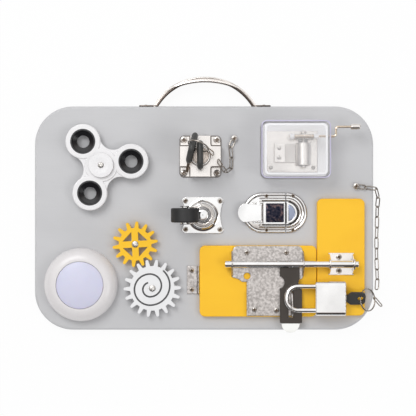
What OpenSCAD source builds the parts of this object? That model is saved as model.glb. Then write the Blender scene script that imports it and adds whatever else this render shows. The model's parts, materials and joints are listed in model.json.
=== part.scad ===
/* Busy board: a small wooden board that carries nine things to turn, press, slide, latch and lock.
   Every size is in millimetres. The board lies on its back: X runs to the right, Y to the carry
   handle, Z out of the face. The origin is the middle of the board's back. */

/* [Board] */
// Length of the board, left to right
board_w = 300; // [296:2:320]
// Width of the board, front edge to handle edge
board_d = 198; // [196:2:220]
// Thickness of the board
board_t = 12; // [12:1:20]
// Radius of the four corners
board_corner_r = 34; // [24:2:44]
// Rounding of the edges, front and back
board_edge_r = 2; // [1:0.5:4]

/* [Screws] */
// Shank of the small fixing screws
screw_d = 2.4; // [2:0.1:2.6]
// Depth that a fixing screw reaches into the wood
screw_reach = 7; // [5:0.5:8]
// Height of a domed screw head
screw_head_h = 1.5; // [1.1:0.1:1.8]
// Room round a screw in its hole
screw_clear = 0.05; // [0.02:0.01:0.1]

/* [Carry handle] */
// Distance between the two ends of the handle
handle_len = 120; // [112:2:132]
// Length of each flat foot
handle_foot = 14; // [12:1:17]
// Height of the bow over the board's edge
handle_rise = 27; // [25:1:30]
// Width of the strap
handle_w = 11; // [10:0.5:11.5]
// Thickness of the pressed sheet
handle_sheet = 1.2; // [0.8:0.1:1.6]
// Height of the rounded crown above the strap's edges
handle_crown = 3.5; // [2:0.5:4]
// Head of the two flush screws
handle_screw_head_d = 5.4; // [5:0.2:6]
// Shank of the two flush screws
handle_screw_d = 2.8; // [2.4:0.2:3]

/* [Spinner] */
// Distance of the spinner's axis from the left edge
spinner_from_left = 59.8; // [56:0.2:64]
// Distance of the spinner's axis from the handle edge
spinner_from_top = 52.6; // [50:0.2:56]
// Distance from the axis to the middle of each lobe
spinner_reach = 26.4; // [26:0.2:30]
// Radius of each lobe
lobe_r = 15.3; // [14.5:0.1:16]
// Radius of the hub
hub_r = 14.5; // [13.5:0.1:15]
// Radius of the hollow between two lobes
waist_r = 12; // [10:0.5:14]
// Direction of the first lobe
spinner_turn = 7.6; // [0:0.2:20]
// Outside diameter of the bearing and of the three ring weights
bearing_d = 22; // [21:0.2:22.4]
// Width of the bearing and of the lobes
bearing_w = 7; // [6:0.5:9]
// Bore of the bearing
bearing_bore = 8; // [7:0.5:8.4]
// Balls in the bearing
bearing_ball_d = 3.9; // [3.4:0.1:4]
// Hole through each ring weight
weight_bore = 11; // [9:0.5:13]
// Diameter of the two thumb caps
cap_d = 21.8; // [20:0.2:24]
// Thickness of a thumb cap
cap_t = 2.6; // [2.2:0.1:3]

/* [Gears] */
// Distance of the yellow gear's axis from the left edge
gear_from_left = 89.4; // [88:0.2:92]
// Distance of the yellow gear's axis from the front edge
gear_from_front = 76; // [74:0.2:78]
// Pitch diameter divided by the number of teeth
gear_module = 2.6; // [2.5:0.02:2.64]
// Teeth on the yellow gear
yellow_teeth = 14; // [14:1:15]
// Teeth on the white gear
white_teeth = 18; // [17:1:18]
// Direction from the yellow gear to the white one
gear_heading = -68.7; // [-74:0.5:-64]
// Thickness of both gears
gear_t = 4; // [3:0.5:5]
// Height of a tooth above the pitch circle
tooth_out = 1.9; // [1.5:0.1:2]
// Depth of a tooth below the pitch circle
tooth_in = 3.8; // [3.4:0.1:4.2]
// Width of a tooth at its root
tooth_root_w = 4.2; // [3.8:0.1:4.4]
// Width of a tooth at its round tip
tooth_tip_w = 2.6; // [2.2:0.1:2.8]
// Height of the washers under the gears
gear_lift = 3; // [2:0.5:4]
// Shank of the three pivot screws
pivot_d = 3; // [2.6:0.1:3.2]
// Width and depth of the spiral groove in the white gear
groove_w = 1.5; // [1:0.1:1.8]
// Depth of the spiral groove
groove_depth = 0.8; // [0.5:0.1:1.5]

/* [Push light] */
// Distance of the light's middle from the left edge
light_from_left = 41.4; // [40:0.2:43]
// Distance of the light's middle from the front edge
light_from_front = 40.4; // [39:0.2:42]
// Outside diameter of the light
light_d = 64.6; // [62:0.2:66]
// Height of the domed ring
light_h = 15; // [14:0.5:18]
// Diameter of the pressed lens
lens_d = 41; // [39:0.5:43]
// Wall of the ring and the lens
light_wall = 1.6; // [1.2:0.1:2]
// Distance that the lens is pressed in
lens_travel = 2.5; // [1.5:0.1:3]

/* [Drawer lock] */
// Distance of the key's axis left of the board's middle
lock_left = 3.2; // [2:0.2:5]
// Distance of the key's axis from the handle edge
lock_from_top = 44.6; // [44:0.2:47]
// Side of the square case
lock_w = 36; // [35:0.5:38]
// Height of the case
lock_case_h = 9; // [8:0.5:10]
// Side of the step at each corner, where the screws sit
lock_step = 8.8; // [8.4:0.1:9.2]
// Outside diameter of the barrel
barrel_d = 18; // [17.4:0.2:19]
// Height of the barrel above the board
barrel_h = 18; // [17:0.2:19]
// Diameter of the turning plug
plug_d = 14.8; // [14:0.2:15.4]
// Width of the bolt that slides out of the lock
tongue_w = 12; // [10:0.5:14]
// Thickness of the sliding bolt
tongue_t = 2.2; // [1.8:0.1:2.4]

/* [Cabinet keys] */
// Width of a key's head
key_head_w = 24.6; // [23:0.2:25]
// Height of a key's head
key_head_h = 22; // [21:0.2:23]
// Thickness of a key's head
key_head_t = 5.3; // [4.6:0.1:5.4]
// Width of the blade
key_blade_w = 7.4; // [6:0.2:8]
// Thickness of the blade
key_blade_t = 2.2; // [1.8:0.1:2.4]
// Length of the blade
key_blade_len = 16; // [14:0.5:16.4]

/* [Wire rings and chains] */
// Radius of the key ring on the drawer lock
lock_ring_r = 9.1; // [8.9:0.1:9.3]
// Radius of the key ring on the padlock key
padlock_ring_r = 9.7; // [9.4:0.1:9.9]
// Wire of both key rings
ring_wire = 1.2; // [1:0.1:1.3]
// Length of a chain link over its ends
link_len = 11.5; // [11.3:0.1:11.8]
// Width of a chain link
link_w = 4.6; // [4.4:0.1:4.8]
// Wire of the chain links
link_wire = 1; // [0.8:0.05:1.05]
// Shank of the two screws that hold the chains
chain_screw_d = 2.2; // [1.8:0.1:2.2]

/* [Music box] */
// Distance of the case's middle from the right edge
music_from_right = 70; // [69:0.2:74]
// Distance of the case's middle from the handle edge
music_from_top = 38.9; // [38:0.2:41]
// Length of the clear case
music_w = 60.4; // [60:0.2:64]
// Width of the clear case
music_d = 50.2; // [50:0.2:53]
// Height of the clear case with its lid
music_h = 22; // [21.6:0.2:25]
// Wall of the case
music_wall = 1.8; // [1.4:0.1:2.2]
// Diameter of the pinned drum
drum_d = 13.3; // [12.4:0.1:13.4]
// Length of the pinned drum
drum_len = 19.5; // [17:0.5:20]
// Teeth of the comb
comb_teeth = 18; // [12:1:20]
// Wire of the crank
crank_wire = 2; // [1.6:0.1:2.2]
// Distance from the crank's shaft to its grip
crank_throw = 8.3; // [7:0.1:10]
// Diameter of the grip
grip_d = 5.1; // [4.4:0.1:6]
// Length of the grip
grip_len = 8.7; // [7:0.1:12]

/* [Caster] */
// Length of the caster's plate
caster_plate_w = 37; // [36:0.5:40]
// Width of the caster's plate
caster_plate_d = 32; // [31:0.5:34]
// Thickness of the plate
caster_plate_t = 1.5; // [1.2:0.1:2]
// Diameter of the ball race
race_d = 22.4; // [21:0.2:23]
// Balls in the swivel
caster_ball_d = 3; // [2.4:0.1:3.2]
// Distance from the swivel's axis to the axle
caster_trail = 15.3; // [14.6:0.1:16]
// Height of the axle above the board
axle_height = 21.5; // [21.5:0.1:24]
// Diameter of the wheel
wheel_d = 24.5; // [22:0.5:25]
// Width of the wheel
wheel_w = 12.5; // [11:0.5:13.5]
// Thickness of the fork's legs
fork_t = 0.9; // [0.7:0.1:1.2]

/* [Suitcase latch] */
// Distance of the split between latch and catch from the right edge
latch_from_right = 77.8; // [76:0.2:80]
// Distance of the latch's centre line above the board's middle
latch_up = 4.6; // [3:0.2:6]
// Width of both base plates
latch_w = 35.2; // [34.6:0.2:37]
// Length from end to end
latch_len = 56.6; // [56:0.2:58]
// Width of the claw plate
claw_w = 19.8; // [18.8:0.2:20]
// Width of the finger tab
tab_w = 16.4; // [15:0.2:16.4]
// Thickness of the lever and the claw
latch_sheet = 1.2; // [1:0.1:1.4]
// Distance between the lever's pin and the claw's pin
latch_throw = 5.8; // [5.6:0.1:6.2]
// Diameter of both pins
latch_pin_d = 1.8; // [1.4:0.1:1.8]

/* [Door and side panel] */
// Distance of the side panel from the right edge
panel_from_right = 8.3; // [7:0.1:10]
// Distance of the side panel from the front edge
panel_from_front = 13; // [12.4:0.2:14]
// Width of the side panel
panel_w = 42.1; // [41:0.1:43]
// Length of the side panel
panel_d = 103.2; // [101:0.2:104]
// Thickness of the door and the side panel
panel_t = 5; // [4.6:0.1:6]
// Width of the door, away from its hinge
door_w = 103.1; // [102:0.1:104]
// Length of the door along its hinge
door_d = 62.7; // [62:0.1:64]
// Gap between the door and the side panel
door_gap = 0.5; // [0.4:0.1:1]
// Corner radius of both panels
panel_corner_r = 5; // [3:0.5:7]
// Length of the hinge
hinge_len = 24.8; // [20:0.2:30]
// Diameter of the hinge knuckles
knuckle_d = 2.4; // [2.2:0.1:2.8]

/* [Barrel bolt] */
// Length of the bolt's base plate
bolt_base_w = 61.2; // [60:0.2:62]
// Thickness of the bolt's plates
bolt_sheet = 1.2; // [1:0.1:1.4]
// Diameter of the sliding rod
rod_d = 6.2; // [5.6:0.1:6.4]
// Length of the sliding rod
rod_len = 116.8; // [114:0.2:120]
// Height of the rod's axis above the base plate
rod_height = 6; // [6:0.1:7]
// Distance that the locked bolt can still move
bolt_play = 2.2; // [1:0.1:2.4]
// Width of the catch on the side panel
catch_w = 22.3; // [20:0.1:24]

/* [Padlock] */
// Length of the padlock's body, along its shackle
padlock_len = 26.4; // [25:0.2:28]
// Width of the padlock's body, across its shackle
padlock_w = 29.9; // [29:0.1:30.4]
// Thickness of the padlock's body
padlock_t = 12; // [11:0.1:12]
// Wire of the shackle
shackle_wire = 4.2; // [3.8:0.1:4.4]
// Distance between the shackle's legs, middle to middle
shackle_span = 20.9; // [20.4:0.1:21.4]
// Distance that the body drops off the opened shackle
padlock_drop = 7; // [5:0.5:8]
// Width of the padlock key's head
small_key_w = 13; // [11:0.5:13.4]
// Thickness of the padlock key's head
small_key_t = 2; // [1.6:0.1:2.2]
// Turn of the padlock key at rest
small_key_turn = 35; // [30:1:40]

/* [Hidden] */
$fn = 64;
run_gap = 0.06;   // round a turning pin or plug
slide_gap = 0.3;  // beside a piece that slides or passes
seat_gap = 0.02;  // between two pressed rings
left_x = -board_w / 2;
right_x = board_w / 2;
top_y = board_d / 2;
front_y = -board_d / 2;

// ---- shared shapes ----
module rounded_rect(w, h, r) {
  square([w - 2 * r, h], center = true);
  square([w, h - 2 * r], center = true);
  for (sx = [-1, 1], sy = [-1, 1]) translate([sx * (w / 2 - r), sy * (h / 2 - r)]) circle(r);
}

// A slab whose edges are rounded all round, standing on z = 0
module soft_slab(w, h, t, r, e) {
  translate([0, 0, e]) linear_extrude(t - 2 * e) rounded_rect(w, h, r);
  linear_extrude(t) rounded_rect(w - 2 * e, h - 2 * e, r - e);
  for (z = [e, t - e]) {
    for (s = [-1, 1]) {
      translate([-(w / 2 - r), s * (h / 2 - e), z]) rotate([0, 90, 0]) cylinder(r = e, h = w - 2 * r);
      translate([s * (w / 2 - e), h / 2 - r, z]) rotate([90, 0, 0]) cylinder(r = e, h = h - 2 * r);
    }
    for (q = [0:3])
      translate([(q == 0 || q == 3 ? 1 : -1) * (w / 2 - r), (q < 2 ? 1 : -1) * (h / 2 - r), z])
        rotate([0, 0, 90 * q]) rotate_extrude(angle = 90) translate([r - e, 0]) circle(e);
  }
}

// A plate across X, drawn as (Y, Z), and a plate across Y, drawn as (X, Z)
module plate_x(t) rotate([90, 0, 90]) translate([0, 0, -t / 2]) linear_extrude(t) children();
module plate_y(t) rotate([90, 0, 0]) translate([0, 0, -t / 2]) linear_extrude(t) children();

module rod_x(d, len) rotate([0, 90, 0]) cylinder(d = d, h = len, center = true);
module rod_y(d, len) rotate([90, 0, 0]) cylinder(d = d, h = len, center = true);

// Domed screw with a cross recess; its head sits on z = 0 and its shank points down
module dome_screw(head_d, shank_d, reach) {
  rim = 0.4;
  rise = screw_head_h - rim;
  dome_r = (pow(head_d / 2, 2) + rise * rise) / (2 * rise);
  difference() {
    intersection() {
      cylinder(d = head_d, h = screw_head_h);
      translate([0, 0, screw_head_h - dome_r]) sphere(dome_r);
    }
    for (a = [0, 90])
      rotate(a) translate([0, 0, screw_head_h]) cube([head_d * 0.5, head_d * 0.14, screw_head_h], center = true);
  }
  translate([0, 0, -reach]) cylinder(d = shank_d, h = reach);
}

module wire_ring(r) rotate_extrude() translate([r, 0]) circle(d = ring_wire);

// One oval link, flat in X and Y, long along X
module chain_link() {
  bend = (link_w - link_wire) / 2;
  half = (link_len - link_w) / 2;
  for (s = [-1, 1]) {
    translate([0, s * bend, 0]) rod_x(link_wire, 2 * half);
    translate([s * half, 0, 0]) rotate([0, 0, -90 * s])
      rotate_extrude(angle = 180) translate([bend, 0]) circle(d = link_wire);
  }
}

link_gap = 0.1;
link_pitch = link_len - 2 * link_wire - link_gap;

// A link from joint p to joint q of a chain, rolled about its length
module link_between(p, q, roll) {
  way = q - p;
  translate((p + q) / 2)
    rotate([roll, -asin(way[2] / norm(way)), atan2(way[1], way[0])]) chain_link();
}

// The next joint lies one pitch further along the route
function next_joint(route, k, from) =
  k > len(route) - 2 ? [] :
  norm(route[k + 1] - from) < link_pitch ? next_joint(route, k + 1, from) :
  let (way = route[k + 1] - route[k], back = route[k] - from,
       a = way * way, b = 2 * (back * way), c = back * back - link_pitch * link_pitch)
  [route[k] + way * (-b + sqrt(b * b - 4 * a * c)) / (2 * a), k];

function chain_joints(route, k, from) =
  let (step = next_joint(route, k, from))
  len(step) == 0 ? [from] : concat([from], chain_joints(route, step[1], step[0]));

// The first link lies nearly flat under its screw, the others lean left and right in turn
module laid_chain(route) {
  spots = chain_joints(route, 0, route[0]);
  for (i = [0:len(spots) - 2])
    link_between(spots[i], spots[i + 1], i == 0 ? -12 : i % 2 == 1 ? 45 : -45);
}

// ---- places ----
spinner_x = left_x + spinner_from_left;
spinner_y = top_y - spinner_from_top;
gear_x = left_x + gear_from_left;
gear_y = front_y + gear_from_front;
gear_distance = gear_module * (yellow_teeth + white_teeth) / 2;
white_x = gear_x + gear_distance * cos(gear_heading);
white_y = gear_y + gear_distance * sin(gear_heading);
light_x = left_x + light_from_left;
light_y = front_y + light_from_front;
lock_x = -lock_left;
lock_y = top_y - lock_from_top;
music_x = right_x - music_from_right;
music_y = top_y - music_from_top;
caster_x = -1.1;
caster_y = 2.6;
latch_x = right_x - latch_from_right;
panel_x = right_x - panel_from_right - panel_w / 2;
panel_y = front_y + panel_from_front + panel_d / 2;
door_right = right_x - panel_from_right - panel_w - door_gap;
door_front = front_y + panel_from_front - 0.9;
door_x = door_right - door_w / 2;
door_y = door_front + door_d / 2;
door_z = board_t + 0.3;
door_top = door_z + panel_t;
bolt_x = door_right - 12.6 - bolt_base_w / 2;
rod_y0 = door_front + 46.6;
rod_z = door_top + bolt_sheet + rod_height;

module on_board(x, y) translate([x, y, board_t]) children();
module on_lock() on_board(lock_x, lock_y) children();
module on_music() on_board(music_x, music_y) children();
module on_caster() on_board(caster_x, caster_y) children();
module on_latch() on_board(latch_x, latch_up) children();

// Fixing screws of each item, about the item's own middle
lock_spots = [for (sx = [-1, 1], sy = [-1, 1]) [sx, sy] * (lock_w / 2 - 3.3)];
caster_spots = [for (sx = [-1, 1], sy = [-1, 1])
  [sx * (caster_plate_w / 2 - 3.3), sy * (caster_plate_d / 2 - 3.5)]];
latch_spots = [for (sx = [-17, 6.4], sy = [-1, 1]) [sx, sy * (latch_w / 2 - 2.5)]];
hinge_x = door_x - door_w / 2 - 0.9;
hinge_y = door_y + 0.8;
hinge_spots = [for (s = [-1, 1]) [-6, s * (hinge_len / 2 - 4)]];
catch_x = door_right + 21.6;
catch_spots = [for (s = [-1, 1]) [-2, s * 6.1]];
lock_chain_spot = [lock_x + 30, lock_y + 16];
long_chain_spot = [right_x - 15.5, panel_y + panel_d / 2 + 11.1];
chain_screw_rise = 2.6;

module holes(spots, d, from, reach)
  for (p = spots) translate([p[0], p[1], from - reach]) cylinder(d = d, h = reach + 3);
pilot_d = screw_d + 2 * screw_clear;

// ---- the board and what holds things to it ----
module board() color("gainsboro") difference() {
  soft_slab(board_w, board_d, board_t, board_corner_r, board_edge_r);
  on_lock() holes(lock_spots, pilot_d, 0, screw_reach);
  on_caster() holes(caster_spots, pilot_d, 0, screw_reach);
  on_latch() holes(latch_spots, pilot_d, 0, screw_reach);
  on_board(hinge_x, hinge_y) holes(hinge_spots, pilot_d, 0, screw_reach);
  on_board(catch_x, rod_y0) holes(catch_spots, pilot_d, 0, 3);
  for (p = [lock_chain_spot, long_chain_spot])
    on_board(p[0], p[1]) holes([[0, 0]], chain_screw_d + 2 * screw_clear, 0, screw_reach);
  for (p = [[spinner_x, spinner_y], [gear_x, gear_y], [white_x, white_y]])
    on_board(p[0], p[1]) holes([[0, 0]], pivot_d + 2 * screw_clear, 0, screw_reach + 1);
  for (s = [-1, 1]) translate([handle_screw_x(s), top_y - 9, board_t / 2])
    rotate([-90, 0, 0]) cylinder(d = handle_screw_d + 2 * screw_clear, h = 20);
}

module board_screws() color("silver") {
  on_lock() for (p = lock_spots) translate([p[0], p[1], lock_flange])
    dome_screw(6.4, screw_d, screw_reach);
  on_caster() for (p = caster_spots) translate([p[0], p[1], caster_plate_t])
    dome_screw(4.6, screw_d, screw_reach);
  on_latch() for (p = latch_spots) translate([p[0], p[1], latch_sheet])
    dome_screw(3.6, screw_d, screw_reach);
  on_board(hinge_x, hinge_y) for (p = hinge_spots) translate([p[0], p[1], hinge_leaf_t])
    dome_screw(4.2, screw_d, screw_reach);
  on_board(catch_x, rod_y0) for (p = catch_spots) translate([p[0], p[1], panel_t + bolt_sheet])
    dome_screw(5, screw_d, panel_t + bolt_sheet + 2.5);
  for (p = [lock_chain_spot, long_chain_spot]) on_board(p[0], p[1]) translate([0, 0, chain_screw_rise])
    dome_screw(5.6, chain_screw_d, chain_screw_rise + 6);
  for (s = [-1, 1]) handle_screw(s);
}

// ---- carry handle: a pressed strap on the board's edge ----
handle_x = 0.8;
function handle_screw_x(s) = handle_x + s * (handle_len / 2 - handle_foot / 2 - 0.5);
handle_half = handle_len / 2 - handle_foot;
bow_r = (handle_half * handle_half + handle_rise * handle_rise) / (2 * handle_rise);
crown_r = (pow(handle_w / 2, 2) + handle_crown * handle_crown) / (2 * handle_crown);
edge_half = handle_half + 7;
edge_rise = handle_rise - handle_crown;
edge_r = (edge_half * edge_half + edge_rise * edge_rise) / (2 * edge_rise);

// Solid under the strap, t below its outer face: the crown runs out toward the feet
module bow_solid(t) intersection() {
  translate([0, handle_rise - bow_r, 0])
    cylinder(r = bow_r - t, h = handle_w + (t > 0 ? 2 : 0), center = true);
  translate([0, edge_rise - edge_r, 0]) rotate_extrude() intersection() {
    union() {
      translate([1, -handle_w]) square([edge_r - 1 - t, 2 * handle_w]);
      translate([edge_r + handle_crown - crown_r, 0]) circle(crown_r - t);
    }
    translate([1, -handle_w / 2 - (t > 0 ? 2 : 0)]) square([2 * edge_r, handle_w + (t > 0 ? 4 : 0)]);
  }
}

module carry_handle() color("silver") translate([handle_x, top_y, board_t / 2]) {
  difference() {
    bow_solid(0);
    bow_solid(handle_sheet);
    translate([-handle_len, -handle_len, -handle_w]) cube([2 * handle_len, handle_len, 2 * handle_w]);
  }
  for (s = [-1, 1]) difference() {
    translate([s * (handle_len / 2 - handle_foot / 2 - 1), 0, 0]) rotate([-90, 0, 0])
      linear_extrude(handle_sheet) rounded_rect(handle_foot + 2, handle_w, 2);
    translate([handle_screw_x(s) - handle_x, 0, 0]) rotate([-90, 0, 0]) {
      translate([0, 0, -1]) cylinder(d = handle_screw_d + 2 * slide_gap, h = 4);
      translate([0, 0, 0.4]) cylinder(d = handle_screw_head_d + 2 * screw_clear, h = 4);
    }
  }
}

module handle_screw(s) translate([handle_screw_x(s), top_y, board_t / 2]) rotate([-90, 0, 0]) {
  difference() {
    translate([0, 0, 0.4]) cylinder(d = handle_screw_head_d, h = handle_sheet - 0.4);
    for (a = [0, 90]) rotate(a) translate([0, 0, handle_sheet]) cube([3, 0.7, 0.9], center = true);
  }
  translate([0, 0, -8.6]) cylinder(d = handle_screw_d, h = 9.1);
}

// ---- spinner: caps on the board, bearing between, three-lobed body ----
cap_stem_d = 11.4;
spinner_z = cap_t + 0.5;
lobe_round = 1;
hub_round = 0.8;
web_t = bearing_w - 2 * lobe_round - 0.4;
waist_reach = spinner_reach / 2 + sqrt(pow(lobe_r + waist_r - 0.2, 2) - pow(spinner_reach * sin(60), 2));
module on_spinner() on_board(spinner_x, spinner_y) rotate(spinner_turn) children();
module each_lobe() for (k = [0:2]) rotate(120 * k) translate([spinner_reach, 0, 0]) children();

// A round collar with rims softened by e, bored to fit what is pressed into it
module soft_collar(r, bore_r, e) rotate_extrude() {
  translate([bore_r, 0]) square([r - e - bore_r, bearing_w]);
  translate([bore_r, e]) square([r - bore_r, bearing_w - 2 * e]);
  for (z = [e, bearing_w - e]) translate([r - e, z]) circle(e);
}

module spinner_body() color("white") on_spinner() translate([0, 0, spinner_z]) {
  soft_collar(hub_r, bearing_d / 2 + seat_gap, hub_round);
  each_lobe() soft_collar(lobe_r, bearing_d / 2 + seat_gap, lobe_round);
  translate([0, 0, (bearing_w - web_t) / 2]) linear_extrude(web_t) difference() {
    union() for (k = [0:2]) {
      rotate(120 * k) polygon([[0, 0], [spinner_reach, 0], waist_reach * [cos(60), sin(60)]]);
      rotate(120 * k) polygon([[0, 0], waist_reach * [cos(60), sin(60)], spinner_reach * [cos(120), sin(120)]]);
    }
    for (k = [0:2]) rotate(120 * k + 60) translate([waist_reach, 0]) circle(waist_r);
    for (k = [0:2]) rotate(120 * k) translate([spinner_reach, 0]) circle(bearing_d / 2 + 1);
    circle(bearing_d / 2 + 1);
  }
}

// Each weight is dished: a steep lip, then a cone down to the bore
dish_floor = bearing_w - 3.4;
module spinner_rings() color("dimgray") on_spinner() translate([0, 0, spinner_z]) each_lobe()
  rotate_extrude() difference() {
    translate([weight_bore / 2, 0]) square([(bearing_d - weight_bore) / 2, bearing_w]);
    polygon([[weight_bore / 2 - 1, dish_floor], [weight_bore / 2, dish_floor], [bearing_d / 2 - 1.7, bearing_w - 1.2],
             [bearing_d / 2 - 1.1, bearing_w + 1], [weight_bore / 2 - 1, bearing_w + 1]]);
  }

ball_path_r = (bearing_d + bearing_bore) / 4;
module bearing_ring(from_r, to_r) rotate_extrude() difference() {
  translate([from_r, 0]) square([to_r - from_r, bearing_w]);
  translate([ball_path_r, bearing_w / 2]) circle(d = bearing_ball_d + 2 * run_gap);
}
module bearing_outer() color("silver") on_spinner() translate([0, 0, spinner_z])
  bearing_ring(ball_path_r + 1.4, bearing_d / 2);
module bearing_inner() color("silver") on_spinner() translate([0, 0, spinner_z])
  bearing_ring(bearing_bore / 2, ball_path_r - 1.4);
module bearing_balls() color("gray") on_spinner() translate([0, 0, spinner_z + bearing_w / 2])
  for (k = [0:6]) rotate(k * 360 / 7) translate([ball_path_r, 0, 0]) sphere(d = bearing_ball_d);

// Each cap is a shallow dish on a stem that stands on the bearing's inner ring
cap_edge = 0.5;
cap_dish_r = 52;
module thumb_cap() difference() {
  rotate_extrude() {
    translate([pivot_d / 2 + run_gap, 0]) square([cap_d / 2 - pivot_d / 2 - run_gap - cap_edge, cap_t]);
    translate([pivot_d / 2 + run_gap, cap_edge]) square([cap_d / 2 - pivot_d / 2 - run_gap, cap_t - 2 * cap_edge]);
    for (z = [cap_edge, cap_t - cap_edge]) translate([cap_d / 2 - cap_edge, z]) circle(cap_edge);
    translate([pivot_d / 2 + run_gap, -0.5]) square([(cap_stem_d - pivot_d) / 2 - run_gap, 1]);
    translate([pivot_d / 2 + run_gap, -0.5 - bearing_w / 2 + 0.1])
      square([(bearing_bore - pivot_d) / 2 - 2 * run_gap, bearing_w / 2]);
  }
  translate([0, 0, cap_t + cap_dish_r - 0.5]) sphere(cap_dish_r);
  translate([0, 0, cap_t - 0.5]) cylinder(d = 6, h = 2);
}
module spinner_caps() color("whitesmoke") on_spinner() {
  translate([0, 0, spinner_z + bearing_w + 0.5]) thumb_cap();
  translate([0, 0, cap_t]) mirror([0, 0, 1]) thumb_cap_plain();
}
// The lower cap lies flat on the board
module thumb_cap_plain() rotate_extrude() {
  translate([pivot_d / 2 + run_gap, 0]) square([(cap_d - pivot_d) / 2 - run_gap, cap_t]);
  translate([pivot_d / 2 + run_gap, -0.5]) square([(cap_stem_d - pivot_d) / 2 - run_gap, 1]);
  translate([pivot_d / 2 + run_gap, -0.5 - bearing_w / 2 + 0.1])
    square([(bearing_bore - pivot_d) / 2 - 2 * run_gap, bearing_w / 2]);
}

spinner_screw_z = spinner_z + bearing_w + 0.5 + cap_t - 0.5;
module pivot_screws() color("silver") {
  on_spinner() translate([0, 0, spinner_screw_z]) dome_screw(5.2, pivot_d, spinner_screw_z + screw_reach);
  for (p = [[gear_x, gear_y], [white_x, white_y]]) on_board(p[0], p[1])
    translate([0, 0, gear_lift + gear_t + 0.1]) dome_screw(5.8, pivot_d, gear_lift + gear_t + screw_reach);
}

// ---- gears ----
sleeve_d = pivot_d + 1.6;
module gear_washers() color("gray") for (p = [[gear_x, gear_y], [white_x, white_y]])
  on_board(p[0], p[1]) rotate_extrude() {
    translate([pivot_d / 2 + run_gap, 0]) square([5 - pivot_d / 2 - run_gap, gear_lift]);
    translate([pivot_d / 2 + run_gap, 0]) square([(sleeve_d - pivot_d) / 2 - run_gap, gear_lift + gear_t + 0.1]);
  }

// Gear outline with a round-tipped tooth on the X axis
module gear_outline(teeth) {
  pitch_r = gear_module * teeth / 2;
  root_r = pitch_r - tooth_in;
  tip_at = pitch_r + tooth_out - tooth_tip_w / 2;
  circle(root_r);
  for (k = [0:teeth - 1]) rotate(360 * k / teeth) {
    polygon([[root_r - 1, -tooth_root_w / 2], [tip_at, -tooth_tip_w / 2],
             [tip_at, tooth_tip_w / 2], [root_r - 1, tooth_root_w / 2]]);
    translate([tip_at, 0]) circle(d = tooth_tip_w);
  }
}

bar_half = 2.9;
window_turn = 2.8;
module yellow_gear() color("gold") on_board(gear_x, gear_y) translate([0, 0, gear_lift])
  linear_extrude(gear_t) difference() {
    rotate(gear_heading) gear_outline(yellow_teeth);
    circle(d = sleeve_d + 2 * run_gap);
    reach = gear_module * yellow_teeth / 2 - tooth_in - 3.4;
    for (k = [0:3]) rotate(90 * k + window_turn)
      polygon([[bar_half, bar_half], [reach, bar_half], [bar_half, reach]]);
  }

// The groove is a spiral of half rings about two centres in turn
spiral_step = 3.7;
spiral_start_r = 6.3;
module spiral_groove() translate([-2, 0.7, gear_t - groove_depth]) for (k = [0:3]) {
  side = k % 2 == 0 ? -0.5 : 0.5;
  arc_r = spiral_start_r + k * spiral_step;
  translate([0, side * spiral_step, 0]) rotate(90 + 180 * k + (k == 0 ? 15 : 0))
    rotate_extrude(angle = k == 0 ? 165 : k == 3 ? 140 : 180)
      translate([arc_r - groove_w / 2, 0]) square([groove_w, gear_t]);
  if (k < 3) translate([0, side * spiral_step + 2 * side * arc_r, 0]) cylinder(d = groove_w + 0.1, h = gear_t);
}

module white_gear() color("white") on_board(white_x, white_y) translate([0, 0, gear_lift])
  difference() {
    linear_extrude(gear_t) difference() {
      rotate(gear_heading + 180 + 180 / white_teeth) gear_outline(white_teeth);
      circle(d = sleeve_d + 2 * run_gap);
    }
    spiral_groove();
  }

// ---- push light ----
light_base_t = 2.5;
ring_bulge_r = light_h - 4;
collar_r = lens_d / 2 + slide_gap;
lens_edge = light_h - 0.4;
lens_dome_r = 90;
module on_light() on_board(light_x, light_y) children();
module light_base() color("whitesmoke") on_light() {
  cylinder(d = light_d - 2 * light_wall - 2 * seat_gap, h = light_base_t);
  for (k = [0:2]) rotate(120 * k) translate([12, 0, 0]) cylinder(d = 4, h = light_base_t + 1);
}
module light_ring() color("ivory") on_light() rotate_extrude() {
  difference() {
    union() {
      intersection() {
        translate([light_d / 2 - ring_bulge_r, light_h - ring_bulge_r]) circle(ring_bulge_r);
        translate([collar_r, light_h - ring_bulge_r]) square([light_d, light_h]);
      }
      translate([collar_r, 0]) square([light_d / 2 - collar_r, light_h - ring_bulge_r]);
    }
    intersection() {
      translate([light_d / 2 - ring_bulge_r, light_h - ring_bulge_r]) circle(ring_bulge_r - light_wall);
      translate([collar_r + light_wall, light_h - ring_bulge_r - 0.01]) square([light_d, light_h]);
    }
    translate([0, -1]) square([light_d / 2 - light_wall, light_h - ring_bulge_r + 1]);
    translate([0, -1]) square([collar_r + light_wall, light_h - 4]);
  }
}
module light_lens() color("lavender") on_light() {
  lens_foot = light_base_t + lens_travel + 1.6;
  rotate_extrude() difference() {
    intersection() {
      translate([0, lens_foot]) square([lens_d / 2, light_h]);
      translate([0, lens_edge + 2.4 - lens_dome_r]) circle(lens_dome_r, $fn = 360);
    }
    translate([-1, 0]) square([lens_d / 2 - light_wall + 1, lens_edge - light_wall]);
  }
  translate([0, 0, light_h - 5 - slide_gap - light_wall]) difference() {
    cylinder(d = lens_d + 2, h = light_wall);
    translate([0, 0, -1]) cylinder(d = lens_d - 2 * light_wall, h = light_wall + 2);
  }
}
module light_board() color("seagreen") on_light() translate([0, 0, light_base_t + 1]) {
  cylinder(d = lens_d - 2 * light_wall - 5, h = 1.2);
  cylinder(d = 5, h = 3);
  for (k = [0:2]) rotate(120 * k + 60) translate([10, 0, 0]) {
    cylinder(d = 5, h = 2);
    translate([0, 0, 2]) sphere(1.6);
  }
}

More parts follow.
